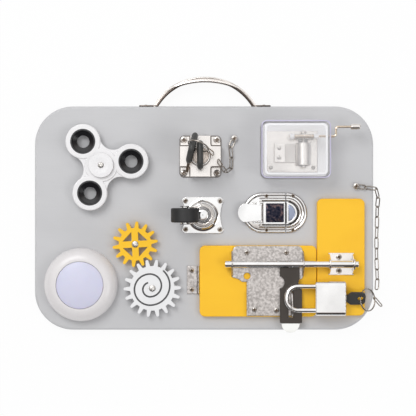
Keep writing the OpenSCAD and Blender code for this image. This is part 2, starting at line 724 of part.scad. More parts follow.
// ---- drawer lock ----
lock_flange = 1.2;
tongue_z = 1.2;
tongue_travel = 8;
plug_z = tongue_z + tongue_t + slide_gap;
key_seat = barrel_h + 2.5;
module lock_case() color("gainsboro") on_lock() difference() {
  union() {
    linear_extrude(lock_flange) rounded_rect(lock_w, lock_w, 3.5);
    linear_extrude(lock_case_h) difference() {
      rounded_rect(lock_w, lock_w, 3.5);
      for (sx = [-1, 1], sy = [-1, 1]) translate([sx, sy] * lock_w / 2) square(2 * lock_step, center = true);
    }
    cylinder(d = barrel_d, h = barrel_h);
  }
  translate([0, 0, tongue_z + tongue_t]) cylinder(d = plug_d + 2 * run_gap, h = barrel_h);
  translate([-tongue_w / 2 - slide_gap, -lock_w / 2 + 5, tongue_z])
    cube([tongue_w + 2 * slide_gap, lock_w, tongue_t + slide_gap]);
  holes(lock_spots, screw_d + 2 * slide_gap, 0, 3);
  difference() {
    translate([0, 0, barrel_h - 0.6]) cylinder(d = barrel_d + 1, h = 2);
    translate([0, 0, barrel_h - 0.7]) cylinder(d = barrel_d - 1, h = 3);
  }
}
module lock_plug() color("goldenrod") on_lock() difference() {
  translate([0, 0, plug_z]) cylinder(d = plug_d, h = barrel_h + 0.3 - plug_z);
  translate([0, 0, barrel_h / 2 + key_seat / 2])
    cube([key_blade_t + 0.3, key_blade_w + 0.4, 2 * key_blade_len], center = true);
  translate([0, 0, barrel_h - 0.2]) difference() {
    cylinder(d = plug_d - 1.4, h = 1);
    translate([0, 0, -1]) cylinder(d = plug_d - 3, h = 3);
  }
}
module lock_tongue() color("silver") on_lock() translate([-tongue_w / 2, -lock_w / 2 + 5.3, tongue_z])
  cube([tongue_w, lock_w - 5.5, tongue_t]);

// A cabinet key standing on its blade: Z runs along it, its head starts at z = 0
module cabinet_key() {
  plate_x(key_head_t) difference() {
    translate([0, key_head_h / 2]) rounded_rect(key_head_w, key_head_h, 6.5);
    translate([0, key_head_h - 9.3]) {
      square([6.8, 5.2], center = true);
      for (s = [-1, 1]) translate([3.4 * s, 0]) circle(d = 5.2);
    }
  }
  plate_x(key_blade_t) difference() {
    translate([0, 0.5 - key_blade_len / 2]) square([key_blade_w, key_blade_len + 1], center = true);
    for (s = [-1, 1]) translate([s * key_blade_w / 2, -key_blade_len]) rotate(45) square(2.6, center = true);
    for (k = [0:2]) translate([key_blade_w / 2, -4 - 3.4 * k]) rotate(45) square(1.4, center = true);
  }
  translate([0, 0, -0.8]) cube([key_head_t - 1.5, key_blade_w + 3, 1.8], center = true);
}
module lock_key() color("dimgray") on_lock() translate([0, 0, key_seat]) cabinet_key();

// The ring stands up through the key's slot and leans back over its head
lock_ring_at = [-1.5, 7.3, 41.5];
lock_ring_tilt = 70;
lock_ring_heading = -21;
spare_on_ring = -125;
module on_lock_ring() on_lock() translate(lock_ring_at) rotate([lock_ring_tilt, 0, lock_ring_heading]) children();
module spare_key() color("dimgray") on_lock_ring()
  translate(lock_ring_r * [cos(spare_on_ring), sin(spare_on_ring), 0])
    rotate([-lock_ring_tilt, 0, 0]) rotate([0, 0, -lock_ring_heading]) spare_pose();
module spare_pose() rotate([0, 0, -13.6]) rotate([-46, 0, 0])
  translate([0.4, 0, 9.8 - key_head_h]) cabinet_key();
module lock_key_ring() color("silver") {
  on_lock_ring() wire_ring(lock_ring_r);
  on_lock() hooked_link([6.95, 3.6, 40.7], [0.498, -0.315, -0.808], -32);
}
// Route of the small chain, about the lock's middle, from its screw to the key ring
lock_chain_route = [[30.6, 16.9, 1.3], [26, 12, 1.9], [27.3, 2, 1.9], [27.6, -8, 1.9], [26.5, -15, 2.4],
  [22, -14, 9], [18, -8, 18], [14.8, -3.6, 25], [12.9, -0.9, 29.3]];
module lock_chain() color("silver") on_lock() laid_chain(lock_chain_route);

// ---- music box ----
music_lid_t = 1.8;
bed_z = 1.5;
bed_t = 1.2;
drum_z = 8.9;
drum_x = 7.35;
drum_y = -13.6;
gear_wheel_r = 6.9;
shaft_y = 11.2;
shaft_z = drum_z + gear_wheel_r + 0.3 + 1.6;
comb_z = drum_z;
module music_case() color("lightcyan") on_music() difference() {
  linear_extrude(music_h - music_lid_t) rounded_rect(music_w, music_d, 5);
  translate([0, 0, bed_z])
    linear_extrude(music_h) rounded_rect(music_w - 2 * music_wall, music_d - 2 * music_wall, 5 - music_wall);
  translate([music_w / 2, shaft_y, shaft_z]) rod_x(crank_wire + 2 * slide_gap, 8);
}
module music_lid() color("lightcyan") on_music() translate([0, 0, music_h - music_lid_t]) {
  linear_extrude(music_lid_t - 0.6) rounded_rect(music_w, music_d, 5);
  linear_extrude(music_lid_t) rounded_rect(music_w - 2.4, music_d - 2.4, 3.8);
  translate([0, 0, -1.2]) linear_extrude(1.5) difference() {
    rounded_rect(music_w - 2 * music_wall - 0.2, music_d - 2 * music_wall - 0.2, 5 - music_wall);
    rounded_rect(music_w - 2 * music_wall - 2.6, music_d - 2 * music_wall - 2.6, 2);
  }
}
axle_d = 2.4;
module music_bedplate() color("gainsboro") on_music() {
  difference() {
    translate([-25, -19.7, bed_z]) cube([45, 36.4, bed_t]);
    translate([drum_x - 4, drum_y - 0.5, bed_z - 1]) cube([8, shaft_y + 3.2 - drum_y, 4]);
    holes(bed_screws, 2 + 2 * screw_clear, 4, 6);
  }
  translate([-25, -19.7, bed_z]) cube([1.2, 12, 4]);
  translate([-25, -19.7, bed_z]) cube([20, 1.2, 3]);
  difference() {
    translate([-18, -11.1, bed_z]) cube([8, 16.7, comb_z - 0.4 - bed_z]);
    holes(comb_screws, 2 + 2 * screw_clear, comb_z, 5);
  }
  for (y = [drum_y - 1.6, shaft_y + 4.2]) difference() {
    translate([drum_x, y, 0]) plate_y(1.4) {
      circle_on_stem(2.6, drum_z, bed_z);
    }
    translate([drum_x, y, drum_z]) rod_y(axle_d + 2 * run_gap, 6);
  }
}
// A round eye at height h on a straight stem that starts at height foot
module circle_on_stem(r, h, foot) {
  translate([0, h]) circle(r);
  translate([-r, foot]) square([2 * r, h - foot]);
}
bed_screws = [[-21, -15.5], [16.5, -15.5]];
comb_screws = [[-14, -7], [-14, 1.5]];
music_posts_x = [-3.4, 17.6];
module music_posts() color("white") on_music() for (x = music_posts_x) difference() {
  translate([x, shaft_y, 0]) plate_x(4) circle_on_stem(2.3, shaft_z, bed_z + bed_t);
  translate([x, shaft_y, shaft_z]) rod_x(crank_wire + 2 * run_gap, 8);
}
comb_tip_gap = 0.35;
module music_comb() color("silver") on_music() translate([0, 0, comb_z - 0.4]) {
  tip_x = drum_x - drum_d / 2 - comb_tip_gap;
  pitch = 16.2 / comb_teeth;
  difference() {
    translate([-18, -11.1, 0]) cube([9, 16.7, 0.8]);
    holes(comb_screws, 2 + 2 * screw_clear, 2, 4);
  }
  for (k = [0:comb_teeth - 1]) translate([-9.1, -10.9 + k * pitch, 0])
    cube([tip_x + 9.1, pitch * 0.72, 0.6]);
}
module music_drum() color("goldenrod") on_music() translate([drum_x, 0, drum_z]) {
  translate([0, drum_y + drum_len / 2, 0]) rod_y(drum_d, drum_len);
  translate([0, (drum_y + shaft_y + 2) / 2 + 1, 0]) rod_y(axle_d, shaft_y + 7.6 - drum_y);
  translate([0, shaft_y, 0]) plate_y(4.4) difference() {
    circle(gear_wheel_r);
    for (k = [0:23]) rotate(15 * k) translate([gear_wheel_r + 0.25, 0]) circle(0.6);
  }
}
arm_x = 34.8;
bend_r = 2.2;
module wire_bend(angle) rotate_extrude(angle = angle) translate([bend_r, 0]) circle(d = crank_wire);
module music_crank() color("goldenrod") on_music() translate([0, 0, shaft_z]) {
  inner = music_posts_x[0] - 2.6;
  translate([(inner + arm_x - bend_r) / 2, shaft_y, 0]) rod_x(crank_wire, arm_x - bend_r - inner);
  translate([(music_posts_x[0] + music_posts_x[1]) / 2, shaft_y, 0]) rod_x(3.2, 16.4);
  translate([arm_x - bend_r, shaft_y + bend_r, 0]) rotate(-90) wire_bend(90);
  translate([arm_x, shaft_y + crank_throw / 2, 0]) rod_y(crank_wire, crank_throw - 2 * bend_r);
  translate([arm_x + bend_r, shaft_y + crank_throw - bend_r, 0]) rotate(90) wire_bend(90);
  translate([arm_x + bend_r + 8, shaft_y + crank_throw, 0]) rod_x(crank_wire, 16);
}
module crank_grip() color("white") on_music()
  translate([arm_x + 12.7, shaft_y + crank_throw, shaft_z]) rotate([0, 90, 0]) rotate_extrude() difference() {
    soft_profile(grip_d / 2, grip_len, 1.1);
    translate([-1, -1]) square([1 + crank_wire / 2 + run_gap, grip_len - 0.4]);
  }
// Half outline of a round bar with softened ends
module soft_profile(r, len, e) {
  square([r - e, len]);
  translate([0, e]) square([r, len - 2 * e]);
  for (z = [e, len - e]) translate([r - e, z]) circle(e);
}
module music_screws() color("silver") on_music() {
  for (p = bed_screws) translate([p[0], p[1], bed_z + bed_t]) dome_screw(3.6, 2, bed_t);
  for (p = comb_screws) translate([p[0], p[1], comb_z + 0.4]) dome_screw(3.6, 2, 5);
}

// ---- caster, wheel up ----
race_z = caster_plate_t + 2.9;
ball_z = race_z + 0.5;
crown_z = ball_z + 0.5;
ball_ring_r = race_d / 2 - 2.6;
leg_y = wheel_w / 2 + slide_gap + fork_t / 2;
kingpin_d = 5;
module caster_plate() color("silver") on_caster() difference() {
  union() {
    linear_extrude(caster_plate_t) difference() {
      rounded_rect(caster_plate_w, caster_plate_d, 4.2);
      side_r = 34;
      for (s = [-1, 1]) translate([s * (caster_plate_w / 2 - 2.8 + side_r), 0]) circle(side_r);
    }
    cylinder(d = race_d, h = race_z);
    cylinder(d = kingpin_d, h = crown_z + 3);
    translate([0, 0, crown_z + 1.6]) intersection() {
      cylinder(d = 8.4, h = 4);
      translate([0, 0, -2.6]) sphere(4.95);
    }
  }
  translate([0, 0, ball_z]) rotate_extrude() translate([ball_ring_r, 0]) circle(d = caster_ball_d + 2 * seat_gap);
  holes(caster_spots, screw_d + 2 * slide_gap, 0, 3);
}
module caster_balls() color("gray") on_caster() for (k = [0:15]) rotate(k * 22.5)
  translate([ball_ring_r, 0, ball_z]) sphere(d = caster_ball_d);
module caster_fork() color("silver") on_caster() difference() {
  union() {
    rotate_extrude() {
      translate([kingpin_d / 2 + run_gap, crown_z]) square([race_d / 2 - 0.6 - kingpin_d / 2, 1.3]);
      translate([race_d / 2 - 3.4, crown_z]) square([2.6, 2.4]);
    }
    for (s = [-1, 1]) translate([0, s * leg_y, 0]) plate_y(fork_t) {
      polygon([[-10.4, crown_z], [5.5, crown_z], [5.5, crown_z + 1.3],
               [-caster_trail + 2.6, axle_height + 2.6], [-caster_trail - 3.2, axle_height - 1.6]]);
      translate([-caster_trail, axle_height]) circle(3.6);
    }
  }
  translate([0, 0, ball_z]) rotate_extrude() translate([ball_ring_r, 0]) circle(d = caster_ball_d + 2 * run_gap);
  translate([-caster_trail, 0, axle_height]) rod_y(4 + 2 * screw_clear, 3 * leg_y);
  translate([-30, -wheel_w / 2 - slide_gap, crown_z + 1.3]) cube([21.6, wheel_w + 2 * slide_gap, 20]);
}
module caster_wheel() color("black") on_caster() translate([-caster_trail, 0, axle_height])
  rotate([90, 0, 0]) rotate_extrude() {
    e = 1.2;
    translate([2 + run_gap, -wheel_w / 2]) square([wheel_d / 2 - e - 2 - run_gap, wheel_w]);
    translate([2 + run_gap, -wheel_w / 2 + e]) square([wheel_d / 2 - 2 - run_gap, wheel_w - 2 * e]);
    for (s = [-1, 1]) translate([wheel_d / 2 - e, s * (wheel_w / 2 - e)]) circle(e);
  }
module caster_axle() color("black") on_caster() translate([-caster_trail, 0, axle_height]) {
  rod_y(4, 2 * leg_y + fork_t);
  for (s = [-1, 1]) translate([0, s * (leg_y + fork_t / 2 + 0.25), 0]) rod_y(8.4, 0.5);
}

// ---- suitcase latch: base with the lever, catch beyond the split ----
latch_end_r = latch_w / 2;
catch_len = 18.7;
base_len = latch_len - catch_len;
split_gap = 0.9;
rib_r = 1.4;
rib_y = 11.7;
rib_z = latch_sheet + 0.3;
rib_start = -23.4;
rib_turn_x = 3.2;
lever_pin_x = -21.8;
claw_pin_x = lever_pin_x - latch_throw;
pin_z = 3.4;
arm_z = pin_z + latch_pin_d / 2 + 0.5;
tab_z = arm_z - 0.2;
tab_x = -42.4;
tab_round = 9.4;
nose_x = 0.6;
nose_r = 9.05;
claw_end = -0.9;
ear_y = 10.9;
arm_y = 9.1;
cheek_y = 7.4;

module latch_outline(inset) {
  for (x = [catch_len, -base_len]) translate([x - sign(x) * latch_end_r, 0]) circle(latch_end_r - inset);
  square([latch_len - 2 * latch_end_r, latch_w - 2 * inset], center = true);
}
module latch_plate(from, to) for (k = [0, 1])
  linear_extrude(k == 0 ? latch_sheet - 0.4 : latch_sheet) intersection() {
    latch_outline(0.5 * k);
    translate([from, -latch_w]) square([to - from, 2 * latch_w]);
  }
module latch_base() color("gainsboro") on_latch() difference() {
  union() {
    latch_plate(-latch_len, -split_gap / 2);
    for (s = [-1, 1]) {
      translate([(rib_start - split_gap / 2) / 2, s * rib_y, rib_z]) rod_x(2 * rib_r, -rib_start - split_gap / 2);
      translate([rib_start + 0.05, s * rib_y, rib_z]) sphere(rib_r - 0.04);
      translate([lever_pin_x, s * ear_y, 0]) plate_y(1) circle_on_stem(2, pin_z, 0.6);
    }
  }
  holes(latch_spots, screw_d + 2 * slide_gap, 0, 3);
  translate([lever_pin_x, 0, pin_z]) rod_y(latch_pin_d + 2 * seat_gap, latch_w);
}
module latch_catch() color("gainsboro") on_latch() difference() {
  union() {
    latch_plate(split_gap / 2, latch_len);
    for (s = [-1, 1]) translate([(rib_turn_x + split_gap / 2) / 2, s * rib_y, rib_z])
      rod_x(2 * rib_r, rib_turn_x - split_gap / 2);
    translate([rib_turn_x, 0, rib_z]) rotate(-90) rotate_extrude(angle = 180) translate([rib_y, 0]) circle(rib_r);
    linear_extrude(arm_z - 0.4) intersection() {
      translate([nose_x, 0]) circle(6.8);
      translate([1.2, -10]) square(20);
    }
  }
  holes(latch_spots, screw_d + 2 * slide_gap, 0, 3);
}

module latch_lever() color("white") on_latch() difference() {
  union() {
    translate([0, 0, tab_z]) linear_extrude(latch_sheet) {
      intersection() {
        translate([tab_x + tab_round, 0]) circle(tab_round);
        translate([tab_x, -tab_w / 2]) square([tab_round, tab_w]);
      }
      polygon([[tab_x + tab_round - 4.6, -tab_w / 2], [lever_pin_x + 0.2, -6.9],
               [lever_pin_x + 0.2, 6.9], [tab_x + tab_round - 4.6, tab_w / 2]]);
    }
    for (s = [-1, 1]) translate([0, s * cheek_y, 0]) plate_y(1.2) {
      for (x = [lever_pin_x, claw_pin_x]) translate([x, pin_z]) circle(1.9);
      translate([claw_pin_x, pin_z - 1.9]) square([latch_throw, 3.8]);
      translate([claw_pin_x - 1.9, pin_z]) square([latch_throw + 1.9, tab_z + 0.4 - pin_z]);
    }
    translate([lever_pin_x, 0, pin_z]) rod_y(3, 2 * cheek_y);
  }
  for (x = [lever_pin_x, claw_pin_x]) translate([x, 0, pin_z]) rod_y(latch_pin_d + 2 * run_gap, latch_w);
}

// The claw's arms ride on its own pin; its lip drops behind the catch
module latch_claw() color("gainsboro") on_latch() difference() {
  union() {
    for (s = [-1, 1]) translate([0, s * arm_y, 0]) plate_y(1) {
      translate([claw_pin_x, pin_z]) circle(1.9);
      translate([claw_pin_x - 1.9, pin_z]) square([3.8, arm_z + 0.4 - pin_z]);
      translate([claw_pin_x - 1.9, arm_z]) square([claw_end - claw_pin_x + 1.9, latch_sheet]);
    }
    translate([-20, -claw_w / 2, arm_z]) cube([20 + claw_end, claw_w, latch_sheet]);
    translate([-20, -claw_w / 2, arm_z]) cube([2.3, claw_w, latch_sheet + 0.5]);
    translate([claw_end - 1, -claw_w / 2, arm_z]) cube([1, claw_w, latch_sheet + 0.5]);
    for (s = [-1, 1]) translate([-10, s * (claw_w / 2 - 0.8), arm_z + latch_sheet]) cube([18, 1.6, 1], center = true);
    translate([claw_end - 0.5, -6, arm_z]) cube([2.5, 12, latch_sheet - 0.5]);
    translate([0, 0, arm_z]) linear_extrude(latch_sheet) d_shape(0);
    translate([0, 0, arm_z]) linear_extrude(latch_sheet + 0.5) difference() {
      d_shape(0);
      d_shape(1.5);
    }
    translate([0, 0, 2.2]) linear_extrude(arm_z - 2.1) intersection() {
      difference() {
        translate([nose_x, 0]) circle(nose_r);
        translate([nose_x, 0]) circle(nose_r - 1.85);
      }
      translate([nose_x + nose_r / 2, -nose_r]) square(2 * nose_r);
    }
  }
  translate([claw_pin_x, 0, pin_z]) rod_y(latch_pin_d + 2 * seat_gap, latch_w);
}
module d_shape(inset) intersection() {
  translate([nose_x, 0]) circle(nose_r - inset);
  translate([nose_x + inset, -nose_r]) square(2 * nose_r);
}
module latch_lever_pin() color("gray") on_latch() translate([lever_pin_x, 0, pin_z])
  rod_y(latch_pin_d, 2 * ear_y + 1);
module latch_claw_pin() color("gray") on_latch() translate([claw_pin_x, 0, pin_z])
  rod_y(latch_pin_d, 2 * arm_y + 1);

// ---- door, side panel and hinge; the hinge's own middle is on its pin ----
hinge_leaf_t = 0.8;
hinge_pin_d = 1.1;
pin_rise = knuckle_d / 2 + 0.05;
knuckle_len = hinge_len / 5;
leaf_inner = knuckle_d / 2 + slide_gap;
door_leaf_reach = 9;
leaf_lift = door_z - board_t;
module on_hinge() on_board(hinge_x, hinge_y) children();
module on_bolt() translate([bolt_x, rod_y0, door_top]) children();
module door() color("gold") difference() {
  translate([door_x, door_y, door_z]) soft_slab(door_w, door_d, panel_t, panel_corner_r, 1);
  on_hinge() {
    translate([0, -hinge_len / 2 - 0.2, 0]) cube([door_leaf_reach + 0.2, hinge_len + 0.4, leaf_lift + hinge_leaf_t]);
    translate([0, 0, pin_rise]) rod_y(knuckle_d + 2 * slide_gap, hinge_len + 0.4);
  }
  on_bolt() holes(bolt_spots, pilot_d, 0, 4);
}
module side_panel() color("gold") difference() {
  translate([panel_x, panel_y, board_t]) soft_slab(panel_w, panel_d, panel_t, panel_corner_r, 1);
  on_board(catch_x, rod_y0) holes(catch_spots, pilot_d, 0, 3);
  on_board(catch_x, rod_y0) holes(catch_spots, pilot_d, panel_t, 4);
}

// Five knuckles along the pin: every second one belongs to the same leaf
module hinge_knuckles(first, way, foot) for (k = [first:2:4]) translate([0, (k - 2) * knuckle_len, 0]) {
  translate([0, 0, pin_rise]) rod_y(knuckle_d, knuckle_len - 0.2);
  translate([way * (leaf_inner + 0.3) / 2, 0, foot + hinge_leaf_t / 2])
    cube([leaf_inner + 0.3, knuckle_len - 0.2, hinge_leaf_t], center = true);
}
module hinge_leaf() color("gray") on_hinge() difference() {
  union() {
    translate([-10.2, -hinge_len / 2, 0]) cube([10.2 - leaf_inner, hinge_len, hinge_leaf_t]);
    hinge_knuckles(0, -1, 0);
  }
  holes(hinge_spots, screw_d + 2 * slide_gap, 0, 3);
  translate([0, 0, pin_rise]) rod_y(hinge_pin_d + 2 * seat_gap, hinge_len + 4);
}
module hinge_door_leaf() color("gray") on_hinge() difference() {
  union() {
    translate([leaf_inner, -hinge_len / 2, leaf_lift]) cube([door_leaf_reach - leaf_inner, hinge_len, hinge_leaf_t]);
    hinge_knuckles(1, 1, leaf_lift);
  }
  translate([0, 0, pin_rise]) rod_y(hinge_pin_d + 2 * run_gap, hinge_len + 4);
}
module hinge_pin() color("gray") on_hinge() translate([0, 0, pin_rise]) rod_y(hinge_pin_d, hinge_len + 0.6);

// ---- barrel bolt; its own middle is on the door under the rod ----
bolt_axis = bolt_sheet + rod_height;
base_top = 15.7;
base_low = -45.7;
fold_x = -18.4;
staple_x = 21.2;
staple_y = -39.3;
staple_from = -25.5;
shoulder_r = 13;
ear_w = 22.8;
bolt_spots = [[-18.1, 10], [16.5, 10], [-11.4, -40.2], [7.8, -40.9]];
module door_screws() color("silver") on_bolt() for (p = bolt_spots) translate([p[0], p[1], bolt_sheet])
  dome_screw(4.8, screw_d, bolt_sheet + 3);

module bolt_base() color("silver") on_bolt() difference() {
  union() {
    linear_extrude(bolt_sheet) difference() {
      union() {
        rounded_rect(bolt_base_w, 2 * base_top, 4);
        square([bolt_base_w + bolt_sheet, ear_w], center = true);
        translate([fold_x, base_low]) square([staple_x + bolt_sheet / 2 - fold_x, -base_low]);
      }
      translate([fold_x - shoulder_r - 0.2, -25]) circle(shoulder_r);
      translate([staple_x + bolt_sheet / 2 + shoulder_r, -25]) circle(shoulder_r);
      translate([-18.1, -10.7]) circle(3);
    }
    for (s = [-1, 1]) translate([s * (bolt_base_w + bolt_sheet) / 2, 0, 0]) plate_x(bolt_sheet) {
      polygon([[-ear_w / 2, 0], [ear_w / 2, 0], [4.4, bolt_axis + 1.6], [-4.4, bolt_axis + 1.6]]);
      translate([0, bolt_axis]) circle(4.7);
    }
    translate([staple_x, 0, 0]) plate_x(bolt_sheet) {
      translate([base_low, 0]) square([staple_from - base_low, bolt_axis]);
      translate([staple_y, bolt_axis + 0.1]) circle(6.4);
      polygon([[staple_from, bolt_axis], [staple_y, bolt_axis + 6.5], [base_low, bolt_axis]]);
    }
    translate([fold_x, base_low, 0]) cube([bolt_sheet, staple_from - base_low, 3]);
  }
  translate([0, 0, bolt_axis]) rod_x(rod_d + 2 * run_gap, bolt_base_w + 10);
  translate([staple_x, staple_y, bolt_axis + 0.4]) rod_x(8, 6);
  holes(bolt_spots, screw_d + 2 * slide_gap, 0, 3);
}
rod_middle = catch_x - bolt_x + catch_w / 2 + 3.25 - rod_len / 2;
module bolt_rod() color("silver") on_bolt() translate([rod_middle, 0, bolt_axis]) {
  rod_x(rod_d, rod_len - 1.2);
  rod_x(rod_d - 1.2, rod_len);
  for (s = [-1, 1]) translate([s * (rod_len / 2 - 0.6), 0, 0]) rotate([0, 90, 0])
    rotate_extrude() translate([rod_d / 2 - 0.6, 0]) circle(0.6);
}

// The finger plate hangs from the rod; its slot lets the staple through
handle_left = 10.7;
handle_right = 30.1;
handle_low = -51.6;
module bolt_handle() color("dimgray") on_bolt() difference() {
  translate([0, 0, bolt_sheet + 1.5]) linear_extrude(1.6) difference() {
    union() {
      translate([handle_left, handle_low]) square([handle_right - handle_left - 2.1, 2.8 - handle_low]);
      translate([handle_left, handle_low]) square([handle_right - handle_left, -12 - handle_low]);
      translate([(handle_left + handle_right) / 2 - 0.4, handle_low]) circle(8.2);
    }
    translate([handle_left - 1.3, -16.2]) circle(5.5);
    translate([handle_right + 3.9, -16.5]) circle(7);
    translate([staple_x - bolt_sheet / 2 - bolt_play - 0.1, base_low - 1.7])
      square([bolt_sheet + bolt_play + 0.7, staple_from - base_low + 2.7]);
  }
  translate([0, 0, bolt_axis]) rod_x(rod_d, 200);
}
module bolt_catch() color("silver") on_board(catch_x, rod_y0) translate([0, 0, panel_t]) {
  eye_h = rod_z - board_t - panel_t;
  difference() {
    union() {
      translate([0, 0, bolt_sheet / 2]) cube([catch_w, 19.3, bolt_sheet], center = true);
      for (s = [-1, 1]) translate([s * (catch_w - bolt_sheet) / 2, 0, 0]) plate_x(bolt_sheet) {
        circle_on_stem(5.4, eye_h, 0);
        polygon([[-9.65, 0], [9.65, 0], [4.6, eye_h + 2.6], [-4.6, eye_h + 2.6]]);
      }
    }
    holes(catch_spots, screw_d + 2 * slide_gap, 0, 3);
    translate([0, 0, eye_h]) rod_x(8, catch_w + 4);
  }
}

// ---- padlock through the staple; its own middle is the centre of its bow ----
leg_start = 14.85;
leg_short = leg_start + 5.5;
leg_long = leg_start + 16;
plug_len = 11;
small_key_len = 16.4;
small_head_x = leg_start + padlock_len + 1.2;
hole_x = leg_start + padlock_len + 13.2;
module on_padlock() on_bolt() translate([26.45, staple_y - 1 + shackle_span / 2, bolt_axis - 0.3]) children();
module padlock_body() color("gainsboro") on_padlock() difference() {
  translate([leg_start + padlock_len / 2, 0, 0]) {
    plate_x(padlock_len) rounded_rect(padlock_w - 1, padlock_t - 1, 2.9);
    plate_x(padlock_len - 1) rounded_rect(padlock_w, padlock_t, 3.4);
  }
  for (s = [-1, 1]) translate([leg_start, s * shackle_span / 2, 0]) rod_x(shackle_wire + 2 * run_gap, 34);
  translate([leg_start + padlock_len, 0, 0]) rod_x(10, 2 * plug_len);
}
module padlock_shackle() color("silver") on_padlock() {
  translate([leg_long / 2, -shackle_span / 2, 0]) rod_x(shackle_wire, leg_long);
  translate([leg_short / 2, shackle_span / 2, 0]) rod_x(shackle_wire, leg_short);
  rotate(90) rotate_extrude(angle = 180) translate([shackle_span / 2, 0]) circle(d = shackle_wire);
}
module turned_with_key() on_padlock() rotate([small_key_turn, 0, 0]) children();
module padlock_plug() color("goldenrod") turned_with_key() difference() {
  translate([leg_start + padlock_len - plug_len / 2 + 0.3, 0, 0]) rod_x(10 - 2 * run_gap, plug_len);
  translate([leg_start + padlock_len, 0, 0]) cube([20.4, 6.6, small_key_t], center = true);
}
module padlock_key() color("dimgray") turned_with_key() plate_flat(small_key_t - 0.2) difference() {
  union() {
    translate([small_head_x, -small_key_w / 2]) {
      translate([small_key_len / 2, 0]) square([small_key_len / 2 - 4, small_key_w]);
      polygon([[0, 3.4], [3.6, 0], [small_key_len - 4, 0], [small_key_len - 4, small_key_w], [3.6, small_key_w],
               [0, small_key_w - 3.4]]);
      translate([small_key_len - 6, 4]) square([6, small_key_w - 8]);
      for (y = [4, small_key_w - 4]) translate([small_key_len - 4, y]) circle(4);
    }
    translate([leg_start + padlock_len - 10, -3.2]) square([12, 6.4]);
  }
  translate([hole_x, 0]) circle(2.6);
}
module plate_flat(t) translate([0, 0, -t / 2]) linear_extrude(t) children();

// A link hooked round a ring's wire at a spot, pointing along a unit way
module hooked_link(spot, way, roll) {
  reach = link_len / 2 - link_wire - ring_wire / 2 - link_gap;
  link_between(spot + (reach - 1) * way, spot + (reach + 1) * way, roll);
}
module padlock_key_ring() color("silver") on_padlock() {
  translate([hole_x + 7.25, -1.85, -6.15]) rotate([41.9, 0, 99]) wire_ring(padlock_ring_r);
  hooked_link([hole_x + 14.4, -0.92, -12.63], [0.65, -0.76, 0], 60);
}

// From its screw over the board's edge, down beside it and up toward the padlock's key
long_chain_route = [for (p = [[-16.6, 62.85, 1.3], [-5.8, 61.3, 1.9], [3.5, 60.1, 1.9], [5, 50.5, -4],
    [4.2, 41, -9.2], [5, 31.5, -10], [4.2, 22, -10.1], [4.2, 11.5, -10.1], [4.2, 1.5, -10.1],
    [4.3, -8, -9.8], [4.4, -17, -6], [3.4, -25.5, -1.5], [2.9, -29.2, 0.2]])
  [right_x, panel_y, board_t] + p];
module long_chain() color("silver") laid_chain(long_chain_route);

board();
board_screws();
carry_handle();
spinner_body();
spinner_rings();
bearing_outer();
bearing_balls();
bearing_inner();
spinner_caps();
pivot_screws();
gear_washers();
yellow_gear();
white_gear();
light_base();
light_ring();
light_lens();
light_board();
lock_case();
lock_plug();
lock_tongue();
lock_key();
spare_key();
lock_key_ring();
lock_chain();
music_case();
music_lid();
music_bedplate();
music_posts();
music_comb();
music_drum();
music_crank();
crank_grip();
music_screws();
caster_plate();
caster_balls();
caster_fork();
caster_wheel();
caster_axle();
latch_base();
latch_catch();
latch_lever();
latch_claw();
latch_lever_pin();
latch_claw_pin();
door();
side_panel();
hinge_leaf();
hinge_door_leaf();
hinge_pin();
bolt_base();
bolt_rod();
bolt_handle();
bolt_catch();
door_screws();
padlock_body();
padlock_shackle();
padlock_plug();
padlock_key();
padlock_key_ring();
long_chain();
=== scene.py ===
# %% [markdown]
# # A wooden busy board, dressed in Blender
# The board comes in as a finished set of solid parts: a grey slab with a carry
# handle, and on its face a spinner, two gears, a push light, a drawer lock, a
# hand-cranked music box, a caster, a suitcase latch and a yellow door that is
# bolted and padlocked. This script gives every part its finish, adds the fine
# pieces that the solids leave out, and sets up the camera, floor and lamps.
# Everything is in metres, with the board lying flat on z = 0, face up.

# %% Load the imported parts
import json
import math
import random

import bmesh
import bpy
from mathutils import Matrix, Vector


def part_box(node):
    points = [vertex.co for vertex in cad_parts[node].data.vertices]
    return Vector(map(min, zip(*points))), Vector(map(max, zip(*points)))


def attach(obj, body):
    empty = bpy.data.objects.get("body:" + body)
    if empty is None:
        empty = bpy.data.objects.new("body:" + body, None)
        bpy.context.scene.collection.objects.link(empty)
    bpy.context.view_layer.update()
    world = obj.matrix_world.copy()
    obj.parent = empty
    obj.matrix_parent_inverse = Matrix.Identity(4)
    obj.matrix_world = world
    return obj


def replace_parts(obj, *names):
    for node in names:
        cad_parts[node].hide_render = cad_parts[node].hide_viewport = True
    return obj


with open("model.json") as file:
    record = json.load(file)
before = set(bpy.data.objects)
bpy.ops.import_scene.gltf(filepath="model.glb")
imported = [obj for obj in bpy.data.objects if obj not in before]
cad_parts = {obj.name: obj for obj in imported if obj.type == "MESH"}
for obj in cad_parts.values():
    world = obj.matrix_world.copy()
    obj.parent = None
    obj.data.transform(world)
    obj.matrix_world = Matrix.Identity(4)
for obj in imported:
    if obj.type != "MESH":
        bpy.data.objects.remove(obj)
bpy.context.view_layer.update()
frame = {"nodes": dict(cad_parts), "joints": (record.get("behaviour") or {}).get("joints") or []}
nodes = frame["nodes"]
mm = 0.001

# %% [markdown]
# ## Camera
# A product shot from straight above: the lens looks down the board's normal.
# One metre away is far enough that the tall parts lean only a little outward.
# The sensor is 36 mm wide, so the focal length follows from the width that the
# frame covers at the face. The camera comes first, because everything that is
# fitted afterwards is judged through it.

# %% Look straight down at the face
board_low, board_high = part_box("board")
face_z = board_high.z
camera_height = 1.0
camera_over = (0.0035, 0.0089)
frame_width = 0.3684
sensor_width = 36.0

